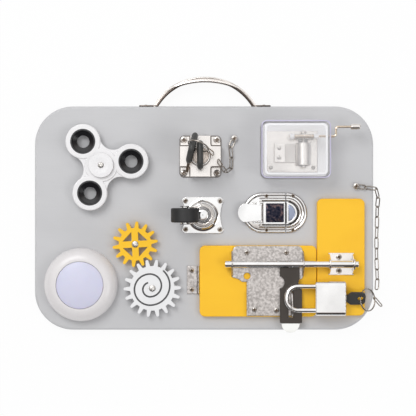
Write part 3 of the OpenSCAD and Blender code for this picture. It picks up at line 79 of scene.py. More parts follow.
camera_data = bpy.data.cameras.new("camera")
camera_data.sensor_width = sensor_width
camera_data.lens = sensor_width * camera_height / frame_width
camera = bpy.data.objects.new("camera", camera_data)
camera.location = (*camera_over, face_z + camera_height)
bpy.context.scene.collection.objects.link(camera)
bpy.context.scene.camera = camera
bpy.context.scene.view_settings.view_transform = "Standard"
print("lens", round(camera_data.lens, 1), "mm, face at z =", round(face_z, 4))

# %% [markdown]
# ## Sky
# Plain studio light: an even white sky does most of the work, and the eye sees
# plain white behind the board. Metal looks like metal only when the room
# around it has dark places as well. A studio hangs black cards for that.
# Here the sky that mirrors see runs from pale overhead to dim at the horizon,
# which costs no lamp and leaves no shadow.

# %% Helpers for node trees
def fill(tree, socket, source):
    """Feed a socket: from an output, from a (node, output name) pair, or with a plain value."""
    if isinstance(source, tuple) and isinstance(source[0], bpy.types.Node):
        source = source[0].outputs[source[1]]
    if isinstance(source, bpy.types.NodeSocket):
        tree.links.new(source, socket)
    else:
        socket.default_value = source


def add_node(tree, kind, *sources, **values):
    """A shader node: sources feed its first sockets in turn, values its named sockets and settings."""
    node = tree.nodes.new(kind)
    for name, value in values.items():
        if name in node.inputs:
            node.inputs[name].default_value = value
        else:
            setattr(node, name, value)
    for socket, source in zip(node.inputs, sources):
        fill(tree, socket, source)
    return node


def colour_ramp(tree, source, stops):
    """Colours along a factor from 0 to 1."""
    ramp = add_node(tree, "ShaderNodeValToRGB", source)
    points = ramp.color_ramp.elements
    while len(points) < len(stops):
        points.new(0.5)
    for point, (place, colour) in zip(points, stops):
        point.position = place
        point.color = (*colour, 1.0)
    return ramp.outputs["Color"]


print("node helpers ready")

# %% The sky: white to the eye, even to matt things, graded to mirrors
world = bpy.data.worlds.new("studio")
world.use_nodes = True
bpy.context.scene.world = world
sky = world.node_tree
sky.nodes.clear()
white = (1.0, 1.0, 1.0, 1.0)
brightest = (-0.12, 0.50, 0.86)
rays = add_node(sky, "ShaderNodeLightPath")
direction = add_node(sky, "ShaderNodeTexCoord")
tilt = add_node(sky, "ShaderNodeVectorMath", (direction, "Generated"), brightest, operation="DOT_PRODUCT")
height = add_node(sky, "ShaderNodeMapRange", (tilt, "Value"), -1.0)
graded = colour_ramp(sky, (height, "Result"), [
    (0.0, (0.25, 0.25, 0.26)), (0.50, (0.02, 0.02, 0.024)), (0.66, (0.05, 0.045, 0.045)),
    (0.79, (0.16, 0.12, 0.10)), (0.85, (0.80, 0.76, 0.73)), (0.91, (1.0, 1.0, 1.0)), (1.0, (1.0, 1.0, 1.0))])
even = add_node(sky, "ShaderNodeBackground", white, Strength=0.62)
mirrored = add_node(sky, "ShaderNodeBackground", graded, Strength=1.05)
plain = add_node(sky, "ShaderNodeBackground", white, Strength=1.0)
to_things = add_node(sky, "ShaderNodeMixShader", (rays, "Is Glossy Ray"), (even, "Background"),
                     (mirrored, "Background"))
seen = add_node(sky, "ShaderNodeMath", (rays, "Is Camera Ray"), (rays, "Is Transmission Ray"),
                operation="ADD", use_clamp=True)
to_all = add_node(sky, "ShaderNodeMixShader", (seen, "Value"), (to_things, "Shader"), (plain, "Background"))
add_node(sky, "ShaderNodeOutputWorld", (to_all, "Shader"))
print("sky ready")

# %% [markdown]
# ## Lamps
# Two large soft squares: a key from behind the handle and a weak fill from the
# other side. Small lamps would throw hard shadows and burn small spots into
# the metal, and a large one gives it something broad and bright to show.

# %% Two soft lamps
def soft_lamp(name, place, size, watts):
    """A square lamp that looks at the board's middle."""
    lamp_data = bpy.data.lights.new(name, "AREA")
    lamp_data.shape = "SQUARE"
    lamp_data.size = size
    lamp_data.energy = watts
    lamp = bpy.data.objects.new(name, lamp_data)
    lamp.location = place
    lamp.rotation_euler = (Vector() - Vector(place)).to_track_quat("-Z", "Y").to_euler()
    bpy.context.scene.collection.objects.link(lamp)
    return lamp


key_lamp = soft_lamp("key_lamp", (-0.55, 0.75, 1.35), 0.8, 10.0)
fill_lamp = soft_lamp("fill_lamp", (0.95, -0.35, 1.3), 0.6, 3.2)
print("lamps:", key_lamp.data.energy, "and", fill_lamp.data.energy, "W")

# %% [markdown]
# ## Floor
# A sheet of pale card under the board. To the eye and to mirrors it answers
# with plain white and keeps only a little of its own shading, so the page is
# clean and the board still casts a faint shadow.

# %% The floor
reach = 3.0
under_board = 0.2 * mm
glow_share = 0.94
floor_mesh = bpy.data.meshes.new("floor")
floor_mesh.from_pydata([(-reach, -reach, 0), (reach, -reach, 0), (reach, reach, 0), (-reach, reach, 0)],
                       [], [(0, 1, 2, 3)])
floor = bpy.data.objects.new("floor", floor_mesh)
floor.location.z = board_low.z - under_board
bpy.context.scene.collection.objects.link(floor)
floor_paint = bpy.data.materials.new("floor")
floor_paint.use_nodes = True
tree = floor_paint.node_tree
tree.nodes.clear()
matt = add_node(tree, "ShaderNodeBsdfDiffuse", (0.9, 0.9, 0.9, 1.0))
glow = add_node(tree, "ShaderNodeEmission", Strength=1.0)
rays = add_node(tree, "ShaderNodeLightPath")
seen = add_node(tree, "ShaderNodeMath", (rays, "Is Camera Ray"), (rays, "Is Glossy Ray"), operation="ADD")
seen_through = add_node(tree, "ShaderNodeMath", (seen, "Value"), (rays, "Is Transmission Ray"),
                        operation="ADD", use_clamp=True)
share = add_node(tree, "ShaderNodeMath", (seen_through, "Value"), glow_share, operation="MULTIPLY")
blend = add_node(tree, "ShaderNodeMixShader", (share, "Value"), (matt, "BSDF"), (glow, "Emission"))
add_node(tree, "ShaderNodeOutputMaterial", (blend, "Shader"))
floor_mesh.materials.append(floor_paint)
print("floor", 2 * reach, "m wide")

# %% [markdown]
# ## Finishes
# Each finish is a Principled shader with a few procedural layers: a drift of
# colour over centimetres, a fine bump over tenths of a millimetre, and a
# roughness that varies with it. All of them read object coordinates, which
# are metres here, so a scale of 1000 means features about a millimetre wide.
# Nothing is painted from a picture.

# %% A base for every finish
def new_finish(name, colour, roughness, metallic=0.0):
    """A material, its tree and its shader, with the uniform values set on the shader itself."""
    material = bpy.data.materials.new(name)
    material.use_nodes = True
    tree = material.node_tree
    shader = tree.nodes["Principled BSDF"]
    shader.inputs["Base Color"].default_value = (*colour, 1.0)
    shader.inputs["Roughness"].default_value = roughness
    shader.inputs["Metallic"].default_value = metallic
    return material, tree, shader


def noise(tree, scale, detail=3.0, stretch=(1.0, 1.0, 1.0)):
    """Noise over object coordinates, stretched for grain or brushing."""
    place = add_node(tree, "ShaderNodeTexCoord")
    metres = add_node(tree, "ShaderNodeMapping", (place, "Object"), Scale=stretch)
    return add_node(tree, "ShaderNodeTexNoise", (metres, "Vector"), Scale=scale, Detail=detail), "Fac"


def colour_by(tree, shader, source, stops):
    """Colour the shader along a ramp."""
    fill(tree, shader.inputs["Base Color"], colour_ramp(tree, source, stops))


def fine_bump(tree, shader, source, depth, edge=0.00025):
    """Surface relief, over edges that shade as if they were rounded by a hair."""
    rounded = add_node(tree, "ShaderNodeBevel", edge, samples=4)
    bump = add_node(tree, "ShaderNodeBump", Strength=1.0, Distance=depth)
    fill(tree, bump.inputs["Height"], source)
    fill(tree, bump.inputs["Normal"], (rounded, "Normal"))
    fill(tree, shader.inputs["Normal"], (bump, "Normal"))


def varied_roughness(tree, shader, source, low, high):
    """Let the roughness follow a noise between two values."""
    spread = add_node(tree, "ShaderNodeMapRange", source, 0.3, 0.7, low, high)
    fill(tree, shader.inputs["Roughness"], (spread, "Result"))


print("finish helpers ready")

# %% [markdown]
# ## Paint
# The board and its yellow panels are plywood, sprayed with satin paint. A
# little grain and the orange peel of the spray show as relief, and the tone
# drifts slightly over the board. Real displacement would need a very dense
# mesh, and a bump gives the same gleam.

# %% Paint on wood
def wood_paint(name, low, high, roughness):
    """Sprayed satin paint that lets a little of the grain below show as relief."""
    material, tree, shader = new_finish(name, high, roughness)
    colour_by(tree, shader, noise(tree, 14.0, 2.0, (1.0, 2.2, 1.0)), [(0.35, low), (0.65, high)])
    grain = noise(tree, 420.0, 4.0, (0.06, 1.0, 1.0))
    peel = noise(tree, 1500.0, 2.0)
    both = add_node(tree, "ShaderNodeMath", grain, peel, operation="ADD")
    fine_bump(tree, shader, (both, "Value"), 0.00006)
    varied_roughness(tree, shader, peel, roughness - 0.05, roughness + 0.07)
    return material


grey_paint = wood_paint("grey_paint", (0.545, 0.545, 0.558), (0.585, 0.585, 0.598), 0.5)
yellow_paint = wood_paint("yellow_paint", (0.955, 0.520, 0.010), (1.0, 0.570, 0.014), 0.42)
print("paints ready")

# %% [markdown]
# ## Plastics
# The spinner, gears, light and keys are moulded. Moulded plastic is nearly one
# colour, so what gives it away is its skin: very slight sink and flow marks,
# and on the shiny ones a clear coat over them.

# %% Moulded plastic
def plastic(name, colour, roughness, coat=0.0):
    """Moulded plastic: nearly even colour under a slightly uneven skin."""
    material, tree, shader = new_finish(name, colour, roughness)
    low = tuple(c * 0.97 for c in colour)
    colour_by(tree, shader, noise(tree, 60.0, 2.0), [(0.35, low), (0.65, colour)])
    skin = noise(tree, 900.0, 2.0)
    fine_bump(tree, shader, skin, 0.00002)
    varied_roughness(tree, shader, skin, roughness - 0.04, roughness + 0.05)
    shader.inputs["Coat Weight"].default_value = coat
    shader.inputs["Coat Roughness"].default_value = 0.08
    return material


white_plastic = plastic("white_plastic", (0.86, 0.85, 0.86), 0.28, 0.3)
cream_plastic = plastic("cream_plastic", (0.77, 0.745, 0.75), 0.3, 0.25)
lens_plastic = plastic("lens_plastic", (0.73, 0.68, 0.83), 0.35, 0.1)
lens_plastic.node_tree.nodes["Principled BSDF"].inputs["Subsurface Weight"].default_value = 0.15
black_plastic = plastic("black_plastic", (0.012, 0.012, 0.014), 0.22, 0.4)
gear_grey = plastic("gear_grey", (0.85, 0.85, 0.86), 0.35)
gear_yellow = plastic("gear_yellow", (0.98, 0.565, 0.012), 0.33)
# a dark grey that paints the shade inside the white gear's spiral groove
groove_shade_grey = plastic("groove_shade_grey", (0.085, 0.085, 0.088), 0.5)
bright_tab = plastic("bright_tab", (1.0, 1.0, 0.97), 0.2, 0.3)
black_rubber = plastic("black_rubber", (0.02, 0.02, 0.021), 0.5)
# black for the key heads and the padlock key; the same black paints shade in the latch's slit and gap
soft_black_and_shade = plastic("soft_black_and_shade", (0.05, 0.05, 0.048), 0.45)
# a dark brown that paints the shade inside the screws' cross recesses
recess_shade_brown = plastic("recess_shade_brown", (0.30, 0.22, 0.16), 0.5)
lilac_edge = plastic("lilac_edge", (0.60, 0.575, 0.74), 0.2, 0.3)
outline_shade = plastic("outline_shade", (0.10, 0.075, 0.06), 0.5)
# a white that paints the bright glint inside the music box lid's rim
glint_white = plastic("glint_white", (0.93, 0.93, 0.95), 0.25, 0.3)
circuit_green = plastic("circuit_green", (0.05, 0.25, 0.12), 0.5)
print("plastics ready")

# %% [markdown]
# ## Metals
# Most fittings are plated steel. What tells nickel from chrome is how sharp
# its mirror is, so each metal has its own roughness, blurred further by
# handling marks. The galvanised bolt plate and the latch's painted dark reflection
# have spots of their own, which take the place of the slow drift of tone.

# %% Metals
def metal(name, colour, roughness, spread=0.08, brush=(1.0, 1.0, 1.0), depth=0.00001, edge=0.0006,
          spots=None):
    """Plated or bare metal; spots are (noise scale, detail, colour stops)."""
    material, tree, shader = new_finish(name, colour, roughness, 1.0)
    marks = noise(tree, 700.0, 5.0, brush)
    half = add_node(tree, "ShaderNodeMath", noise(tree, 90.0, 3.0), 0.5, operation="MULTIPLY")
    both = add_node(tree, "ShaderNodeMath", marks, 0.5, (half, "Value"), operation="MULTIPLY_ADD")
    varied_roughness(tree, shader, (both, "Value"), roughness - spread, roughness + spread)
    fine_bump(tree, shader, marks, depth, edge)
    dark = tuple(c * 0.86 for c in colour)
    scale, detail, stops = spots or (45.0, 2.0, [(0.35, dark), (0.65, colour)])
    colour_by(tree, shader, noise(tree, scale, detail), stops)
    return material


steel_sheet = metal("steel_sheet", (0.60, 0.565, 0.55), 0.33, 0.1, depth=0.00003, edge=0.0009,
                    spots=(520.0, 6.0, [(0.36, (0.40, 0.375, 0.36)), (0.64, (0.70, 0.665, 0.645))]))
nickel = metal("nickel", (0.94, 0.90, 0.865), 0.2, 0.05)
chrome = metal("chrome", (0.96, 0.955, 0.95), 0.09, 0.04)
fine_chrome = metal("fine_chrome", (0.95, 0.945, 0.94), 0.1, 0.03, edge=0.00006)
strap_nickel = metal("strap_nickel", (0.90, 0.85, 0.81), 0.2, 0.04, edge=0.00025)
# a dark copy of the strap's metal that paints shade on the handle's feet and underside
strap_shade = metal("strap_shade", (0.13, 0.105, 0.09), 0.3, 0.05, edge=0.00025)
drum_steel = metal("drum_steel", (0.93, 0.90, 0.87), 0.42, 0.06)
screw_steel = metal("screw_steel", (0.95, 0.93, 0.90), 0.42, 0.06)
wire_steel = metal("wire_steel", (0.46, 0.42, 0.38), 0.22)
pale_brass = metal("pale_brass", (0.80, 0.68, 0.55), 0.24)
plug_nickel = metal("plug_nickel", (0.86, 0.76, 0.68), 0.22)
dark_plate = metal("dark_plate", (0.085, 0.075, 0.068), 0.33, 0.06, (0.15, 1.0, 1.0), 0.00002)
# dark chrome for the caster's axle; on the crown's groove and fine rings it paints shade and dark reflection
dark_chrome_and_shade = metal("dark_chrome_and_shade", (0.22, 0.22, 0.23), 0.2)
brass = metal("brass", (0.80, 0.60, 0.36), 0.22)
# a near-black metal that paints the dark reflection on the latch claw's top
dark_reflection_paint = metal("dark_reflection_paint", (0.022, 0.025, 0.038), 0.14, 0.04, depth=0.00006, spots=(
    330.0, 5.0, [(0.35, (0.006, 0.009, 0.022)), (0.52, (0.03, 0.03, 0.045)), (0.68, (0.16, 0.11, 0.11))]))
# a blue-grey metal that paints the reflection on the latch claw's nose
blue_reflection_paint = metal("blue_reflection_paint", (0.33, 0.37, 0.48), 0.14, 0.04)
print("metals ready")

# %% [markdown]
# ## Clear plastic
# The music box is a clear case with a clear lid. Glass with real refraction
# would hide the movement behind dark edges at this size, so the sheet is made
# of thin transparency instead. Square on it is nearly invisible, toward a
# glancing view it turns milky and lilac, and its floor is a white card.

# %% The music box's case and lid
def clear_sheet(name, colour, roughness, low, high, edge):
    """Clear moulded sheet with a few scuffs."""
    material, tree, shader = new_finish(name, colour, roughness)
    shader.inputs["IOR"].default_value = 1.49
    scuffs = noise(tree, 240.0, 4.0)
    varied_roughness(tree, shader, scuffs, low, high)
    fine_bump(tree, shader, scuffs, 0.00003, edge)
    return material, tree, shader


lilac, card_white = (0.86, 0.85, 0.93), (0.95, 0.95, 0.96)
card_top = face_z + 1.6 * mm
clear_plastic, tree, shader = clear_sheet("clear_plastic", lilac, 0.06, 0.04, 0.16, 0.0006)
glance = add_node(tree, "ShaderNodeLayerWeight", 0.42)
veil = colour_ramp(tree, (glance, "Facing"), [
    (0.0, (0.07, 0.07, 0.07)), (0.4, (0.12, 0.12, 0.12)), (0.75, (0.3, 0.3, 0.3)), (1.0, (0.5, 0.5, 0.5))])
spot = add_node(tree, "ShaderNodeTexCoord")
parts_of = add_node(tree, "ShaderNodeSeparateXYZ", (spot, "Object"))
on_floor = add_node(tree, "ShaderNodeMath", (parts_of, "Z"), card_top, operation="LESS_THAN")
solid = add_node(tree, "ShaderNodeMath", veil, (on_floor, "Value"), operation="MAXIMUM")
fill(tree, shader.inputs["Alpha"], (solid, "Value"))
colour_by(tree, shader, (on_floor, "Value"), [(0.4, lilac), (0.6, card_white)])
lid_plastic, tree, shader = clear_sheet("lid_plastic", (0.96, 0.955, 0.975), 0.08, 0.05, 0.18, 0.0008)
shader.inputs["Alpha"].default_value = 0.13
print("card up to z =", round(card_top, 4))

# %% [markdown]
# ## The spare key's finish
# The key is one part with a black head and a brass blade. It hangs at a slant,
# so the border between the two is a plane across the key's own length, found
# from the two points of it that lie farthest apart.

# %% Black head, brass blade
head_share = 0.53
key_black, key_brass = (0.012, 0.012, 0.014), (0.52, 0.40, 0.30)
key_points = [nodes["spare_key"].matrix_world @ v.co for v in nodes["spare_key"].data.vertices]
key_middle = sum(key_points, Vector()) / len(key_points)
key_end = max(key_points, key=lambda p: (p - key_middle).length)
key_start = max(key_points, key=lambda p: (p - key_end).length)
head_end, blade_end = (key_start, key_end) if key_start.z > key_end.z else (key_end, key_start)
along_key = (blade_end - head_end).normalized()
blade_from = head_end.dot(along_key) + (blade_end - head_end).length * head_share
key_metal, tree, shader = new_finish("key_metal", key_black, 0.3)
place = add_node(tree, "ShaderNodeTexCoord")
from_head = add_node(tree, "ShaderNodeVectorMath", (place, "Object"), along_key, operation="DOT_PRODUCT")
is_blade = add_node(tree, "ShaderNodeMath", (from_head, "Value"), blade_from, operation="GREATER_THAN")
colour_by(tree, shader, (is_blade, "Value"), [(0.4, key_black), (0.6, key_brass)])
fill(tree, shader.inputs["Metallic"], (is_blade, "Value"))
fine_bump(tree, shader, noise(tree, 900.0, 3.0), 0.00004)
print("spare key", round((blade_end - head_end).length / mm, 1), "mm long")

# %% [markdown]
# ## Tools for the fine pieces
# The solids leave out the small things that light finds first: beads, grooves,
# panels and pins. Most of them are one of five shapes, so each shape has a
# helper: a skin over rings of points, a plate with a soft edge, a turned ring,
# a bar swept along a path, and a round wire. Boxes with modifiers could do it
# too, but points from a formula keep every size exact. Each piece takes its
# place from the part that it sits on, and rides on the same moving body.

# %% Turn a shape into a piece that rides on a body
def keep_piece(name, data, body):
    piece = bpy.data.objects.new(name, data)
    bpy.context.scene.collection.objects.link(piece)
    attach(piece, body)
    return piece


def keep_mesh(name, shape, finish, body, smooth=True):
    """Keep a worked shape, with its sharp edges left sharp."""
    mesh = bpy.data.meshes.new(name)
    shape.to_mesh(mesh)
    shape.free()
    if smooth:
        mesh.shade_smooth()
        mesh.set_sharp_from_angle(angle=math.radians(35))
    mesh.materials.append(finish)
    return keep_piece(name, mesh, body)


def add_piece(name, rings, finish, body, loop=False):
    """A closed skin over rings of points: either with flat ends, or back round to its start."""
    skin = bmesh.new()
    rows = [[skin.verts.new(point) for point in ring] for ring in rings]
    count = len(rows[0])
    for low, high in zip(rows, rows[1:] + rows[:1] if loop else rows[1:]):
        for k in range(count):
            skin.faces.new((low[k], low[(k + 1) % count], high[(k + 1) % count], high[k]))
    if not loop:
        skin.faces.new(list(reversed(rows[0])))
        skin.faces.new(rows[-1])
    bmesh.ops.recalc_face_normals(skin, faces=skin.faces)
    return keep_mesh(name, skin, finish, body)


print("pieces are kept by keep_mesh and add_piece")

# %% Plates, outlines and arcs
def soft_plate(name, outline, low, high, edge, finish, body, crown=0.0):
    """A plate cut to an outline of (x, y) points, with its upper edge rounded over."""
    middle = [sum(p[i] for p in outline) / len(outline) for i in (0, 1)]
    widest = max(math.dist(p, middle) for p in outline)

    def shrunk(inset, z):
        return [(x - (x - middle[0]) / widest * inset, y - (y - middle[1]) / widest * inset, z)
                for x, y in outline]

    rings = [shrunk(0, low)]
    for a in [math.radians(turn) for turn in (0, 22.5, 45, 67.5, 90)]:
        rings.append(shrunk(edge * (1 - math.cos(a)), high - edge * (1 - math.sin(a))))
    for share in (0.25, 0.5, 0.75) if crown else ():
        rings.append(shrunk(edge + (widest - edge) * share, high + crown * (1 - (1 - share) ** 2)))
    return add_piece(name, rings, finish, body)


def round_corners(low, high, radius, inset=0.0, steps=6):
    """The outline of a rectangle between two corners, set in and with rounded corners."""
    x_low, y_low, x_high, y_high = low[0] + inset, low[1] + inset, high[0] - inset, high[1] - inset
    points = []
    for quarter, (x, y) in enumerate([(x_high, y_high), (x_low, y_high), (x_low, y_low), (x_high, y_low)]):
        cx = x - radius if x == x_high else x + radius
        cy = y - radius if y == y_high else y + radius
        for k in range(steps + 1):
            a = math.radians(90 * quarter + 90 * k / steps)
            points.append((cx + radius * math.cos(a), cy + radius * math.sin(a)))
    return points


def arc(centre, radius, first, last, steps):
    """Points on an arc, angles in degrees."""
    turns = [math.radians(first + (last - first) * k / steps) for k in range(steps + 1)]
    return [(centre[0] + radius * math.cos(a), centre[1] + radius * math.sin(a), centre[2]) for a in turns]


print("plates have soft edges")

# %% Turned rings, swept beads and wires
def turned(name, centre, profile, finish, body, steps=72):
    """A ring turned about an upright axis from a closed profile of (radius, height) points in mm."""
    rings = []
    for step in range(steps):
        a = 2 * math.pi * step / steps
        rings.append([(centre[0] + r * mm * math.cos(a), centre[1] + r * mm * math.sin(a), centre[2] + z * mm)
                      for r, z in profile])
    return add_piece(name, rings, finish, body, loop=True)


def swept(name, path, profile, finish, body):
    """A bar that follows a path of points, with a profile of (across, up) points."""
    rings = []
    for k, point in enumerate(path):
        ahead, behind = path[min(k + 1, len(path) - 1)], path[max(k - 1, 0)]
        along = Vector((ahead[0] - behind[0], ahead[1] - behind[1], 0)).normalized()
        across = Vector((-along.y, along.x, 0))
        rings.append([tuple(Vector(point) + across * u + Vector((0, 0, v))) for u, v in profile])
    return add_piece(name, rings, finish, body)


def half_round(half_width, height):
    """The profile of a bead: flat below, round above."""
    turns = [math.radians(a) for a in range(0, 181, 15)]
    return [(half_width * math.cos(a), height * math.sin(a)) for a in turns]


def wire(name, points, thickness, finish, body):
    """A round wire through a row of points."""
    curve = bpy.data.curves.new(name, "CURVE")
    curve.dimensions = "3D"
    curve.bevel_depth = thickness / 2
    curve.bevel_resolution = 4
    run = curve.splines.new("POLY")
    run.points.add(len(points) - 1)
    for spot, point in zip(run.points, points):
        spot.co = (*point, 1.0)
    curve.materials.append(finish)
    return keep_piece(name, curve, body)


print("rings, beads and wires ready")

# %% [markdown]
# ## Carry handle
# The handle is a strip of polished steel, bent to a bow and bulged so that it
# feels round to the hand. Bending a flat strip with a modifier would keep it
# flat across. Here the strap's face is worked out point by point: seen from
# the side it is a flat bow, toward the top a rounded crown grows out of it,
# and the face is whichever of the two lies lower.

# %% The strap's shape
strap_low, strap_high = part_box("carry_handle")
strap_x, strap_z = (strap_low.x + strap_high.x) / 2, (strap_low.z + strap_high.z) / 2
strap_width = strap_high.z - strap_low.z
rise = strap_high.y - strap_low.y
half_span = (strap_high.x - strap_low.x) / 2 - 14 * mm
crown, crown_run, strap_sheet, blend_width = 3.5 * mm, 7 * mm, 1.2 * mm, 0.9 * mm
bow_r = (half_span ** 2 + rise ** 2) / (2 * rise)
bow_y = board_high.y + rise - bow_r
end_turn = math.acos((bow_r - rise) / bow_r)
crown_r = ((strap_width / 2) ** 2 + crown ** 2) / (2 * crown)
edge_half, edge_rise = half_span + crown_run, rise - crown
edge_r = (edge_half ** 2 + edge_rise ** 2) / (2 * edge_rise)
lift = (rise - bow_r) - (edge_rise - edge_r)


def strap_reach(turn, across):
    """Distance of the strap's face from the bow's centre, at an angle and a place across it."""
    across = min(abs(across), strap_width / 2)
    crown_at = edge_r + crown - crown_r + math.sqrt(crown_r ** 2 - across ** 2)
    crowned = -lift * math.cos(turn) + math.sqrt(crown_at ** 2 - (lift * math.sin(turn)) ** 2)
    low, high = min(bow_r, crowned), max(bow_r, crowned)
    return low - blend_width / 4 * max(0.0, 1 - (high - low) / blend_width) ** 2


def on_bow(r, turn, z):
    return strap_x + r * math.sin(turn), bow_y + r * math.cos(turn), z


print("strap rises", round(rise / mm, 1), "mm from the board's edge")

# %% The strap, its feet and underside in painted shade, and its bright edge
turns_along, steps_across = 48, 16
strap_rings = []
for step in range(2 * turns_along + 1):
    turn = end_turn * (step / turns_along - 1)
    ring = []
    for side, inset in ((1, 0.0), (-1, strap_sheet)):
        for k in range(steps_across + 1):
            across = side * strap_width * (k / steps_across - 0.5) * 0.999
            ring.append(on_bow(strap_reach(turn, across) - inset, turn, strap_z + across))
    strap_rings.append(ring)
strap = add_piece("handle_strap", strap_rings, strap_nickel, "board")
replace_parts(strap, "carry_handle")

# the feet and the wire under the strap take the dark copy of the strap's metal as painted shade, and the edge
# wire is the strap's own metal
foot_length, foot_overlap = 16 * mm, 3.6 * mm
foot_depths = ((0, 0), (0, 0.8), (0.1, 1.0), (0.3, 1.1))
for side, name in ((-1, "handle_foot_left"), (1, "handle_foot_right")):
    middle = strap_x + side * (half_span + foot_length / 2 - foot_overlap)
    outline = round_corners((middle - foot_length / 2, -strap_width / 2),
                            (middle + foot_length / 2, strap_width / 2), 2 * mm)
    add_piece(name, [[(x + (middle - x) * inset / 8, board_high.y + depth * mm, strap_z + z - z * inset / 6)
                      for x, z in outline] for inset, depth in foot_depths], strap_shade, "board")
for name, inset, below, thickness, finish in (("handle_underside_shade", 2.7, 2.0, 2.6, strap_shade),
                                              ("handle_edge", 1.5, 1.2, 1.7, strap_nickel)):
    bow_points = [on_bow(bow_r - inset * mm, end_turn * (k / 32 - 1), strap_high.z - below * mm)
                  for k in range(65)]
    wire(name, bow_points, thickness * mm, finish, "board")
print("strap", len(strap_rings), "sections")

# %% [markdown]
# ## Suitcase latch
# Two pressed plates make one long oval, split across near its right end. The
# press gives each a rounded bead along the edge and a second one round the
# claw, and dark lines lie beside them where the polished metal mirrors the dark
# of the room. A bump could fake the beads, but their gleam has to bend round them,
# so they are swept bars. The dark lines are thin wires of painted dark reflection,
# half sunk into the plate.

# %% Where the latch's plates and beads run
claw_low, claw_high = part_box("latch_claw")
claw_y = (claw_low.y + claw_high.y) / 2
sheet_top = claw_high.z - 0.5 * mm
split_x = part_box("latch_catch")[0].x - 0.45 * mm
latch_sheet, half_gap = 1.2 * mm, 0.45 * mm
oval_r, frame_r, frame_reach = 17.6 * mm, 11.7 * mm, 23.0 * mm
bead_half, bead_z = 1.25 * mm, face_z + latch_sheet - 0.05 * mm
edge_bead, frame_bead = half_round(bead_half, 1.0 * mm), half_round(1.4 * mm, 1.6 * mm)
left_round, right_round = (split_x - 20.3 * mm, claw_y, bead_z), (split_x + 1.1 * mm, claw_y, bead_z)
plates = {"latch_base": (-1, left_round, 90, 270), "latch_catch": (1, right_round, 90, -90)}


def split_oval(side, round_at, first, last):
    """One plate's outline: round at its end, straight at the split."""
    corner = split_x + side * half_gap
    edge = [point[:2] for point in arc(round_at, oval_r, first, last, 40)]
    return [(corner, claw_y + oval_r)] + edge + [(corner, claw_y - oval_r)]


def latch_run(side, round_at, first, last, radius):
    """A path from the split along one side of a plate and round its end, back to the split."""
    start = (split_x + side * half_gap, claw_y + radius, bead_z)
    stop = (split_x + side * half_gap, claw_y - radius, bead_z)
    turn = arc(round_at, radius, first, last, 40)
    ahead = [tuple(a + (b - a) * k / 12 for a, b in zip(start, turn[0])) for k in range(12)]
    back = [tuple(a + (b - a) * k / 12 for a, b in zip(turn[-1], stop)) for k in range(1, 13)]
    return ahead + turn + back


print("latch oval", round((right_round[0] - left_round[0] + 2 * oval_r) / mm, 1), "mm long")

# %% The plates, their beads and the ears at the hinge
for plate, run in plates.items():
    skin = soft_plate(plate + "_plate", split_oval(*run), face_z, face_z + latch_sheet, 0.4 * mm,
                      chrome, "board")
    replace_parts(skin, plate)
    swept(plate + "_edge_bead", latch_run(*run, oval_r - bead_half), edge_bead, fine_chrome, "board")
swept("latch_catch_frame_bead", latch_run(*plates["latch_catch"], frame_r), frame_bead, fine_chrome, "board")
ear_half, ear_r, ear_rise, ear_in = 2.6, 2.0, 3.4, 0.8 * mm
ear_x = split_x - 21.8 * mm
ear_top = [point[:2] for point in arc((0, ear_rise, 0), ear_r, 0, 180, 12)]
ear_outline = [(ear_half, 0.0)] + ear_top + [(-ear_half, 0.0)]
for side, end in ((1, "upper"), (-1, "lower")):
    bead_y = claw_y + side * frame_r
    straight = [(split_x - half_gap - frame_reach * k / 12, bead_y, bead_z) for k in range(13)]
    swept("latch_base_frame_bead_" + end, straight, frame_bead, fine_chrome, "board")
    ear_y = claw_y + side * (frame_r - ear_in)
    add_piece("latch_ear_" + end, [[(ear_x + u * mm, ear_y + shift * mm, face_z + v * mm)
                                    for u, v in ear_outline] for shift in (-0.5, 0.5)], chrome, "board")
print("latch plates:", ", ".join(plates))

# %% Painted dark reflection beside the beads, painted shadow in the gap, and the post
# dark wires paint the dark reflection beside each bead, and the soft black arc paints the shadow in the gap
# round the claw's nose
for plate, run in plates.items():
    for mark, inset, level in (("_line_0", 0.0, -0.5), ("_line_2", 2.7, 0.1)):
        line = [(x, y, z + level * mm) for x, y, z in latch_run(*run, oval_r - inset * mm)]
        wire(plate + mark, line, 0.5 * mm, outline_shade, "board")
for mark, radius in (("outer", frame_r + 1.55 * mm), ("inner", frame_r - 1.55 * mm)):
    line = latch_run(*plates["latch_catch"], radius)
    wire("latch_frame_line_" + mark, line, 0.45 * mm, outline_shade, "board")
    for side, end in ((1, "upper"), (-1, "lower")):
        line = [(split_x - out, claw_y + side * radius, bead_z) for out in (half_gap, frame_reach)]
        wire("latch_base_line_" + end + "_" + mark, line, 0.45 * mm, outline_shade, "board")
gap_path = arc((split_x + 0.8 * mm, claw_y, bead_z + 0.1 * mm), 10.0 * mm, 80, -80, 32)
swept("latch_shadow_gap", gap_path, half_round(0.75 * mm, 0.1 * mm), soft_black_and_shade, "board")
turned("latch_catch_post", (split_x + 4.0 * mm, claw_y, face_z + latch_sheet),
       [(0.5, 0), (2.6, 0), (2.6, 2.7), (0.5, 2.7)], chrome, "board", 32)
print("lines on the latch at z =", round(bead_z, 4))

# %% [markdown]
# ## Painted reflections on the claw
# The claw's flat top mirrors the dark of the room, and only from above. A
# darker metal on the whole claw would spoil its bright sides, so thin dark metal
# panels lie on the sheet and paint that dark reflection. They leave a bright margin,
# with a dark slit of painted shade between them. A blue-grey panel paints the
# reflection on the claw's nose.

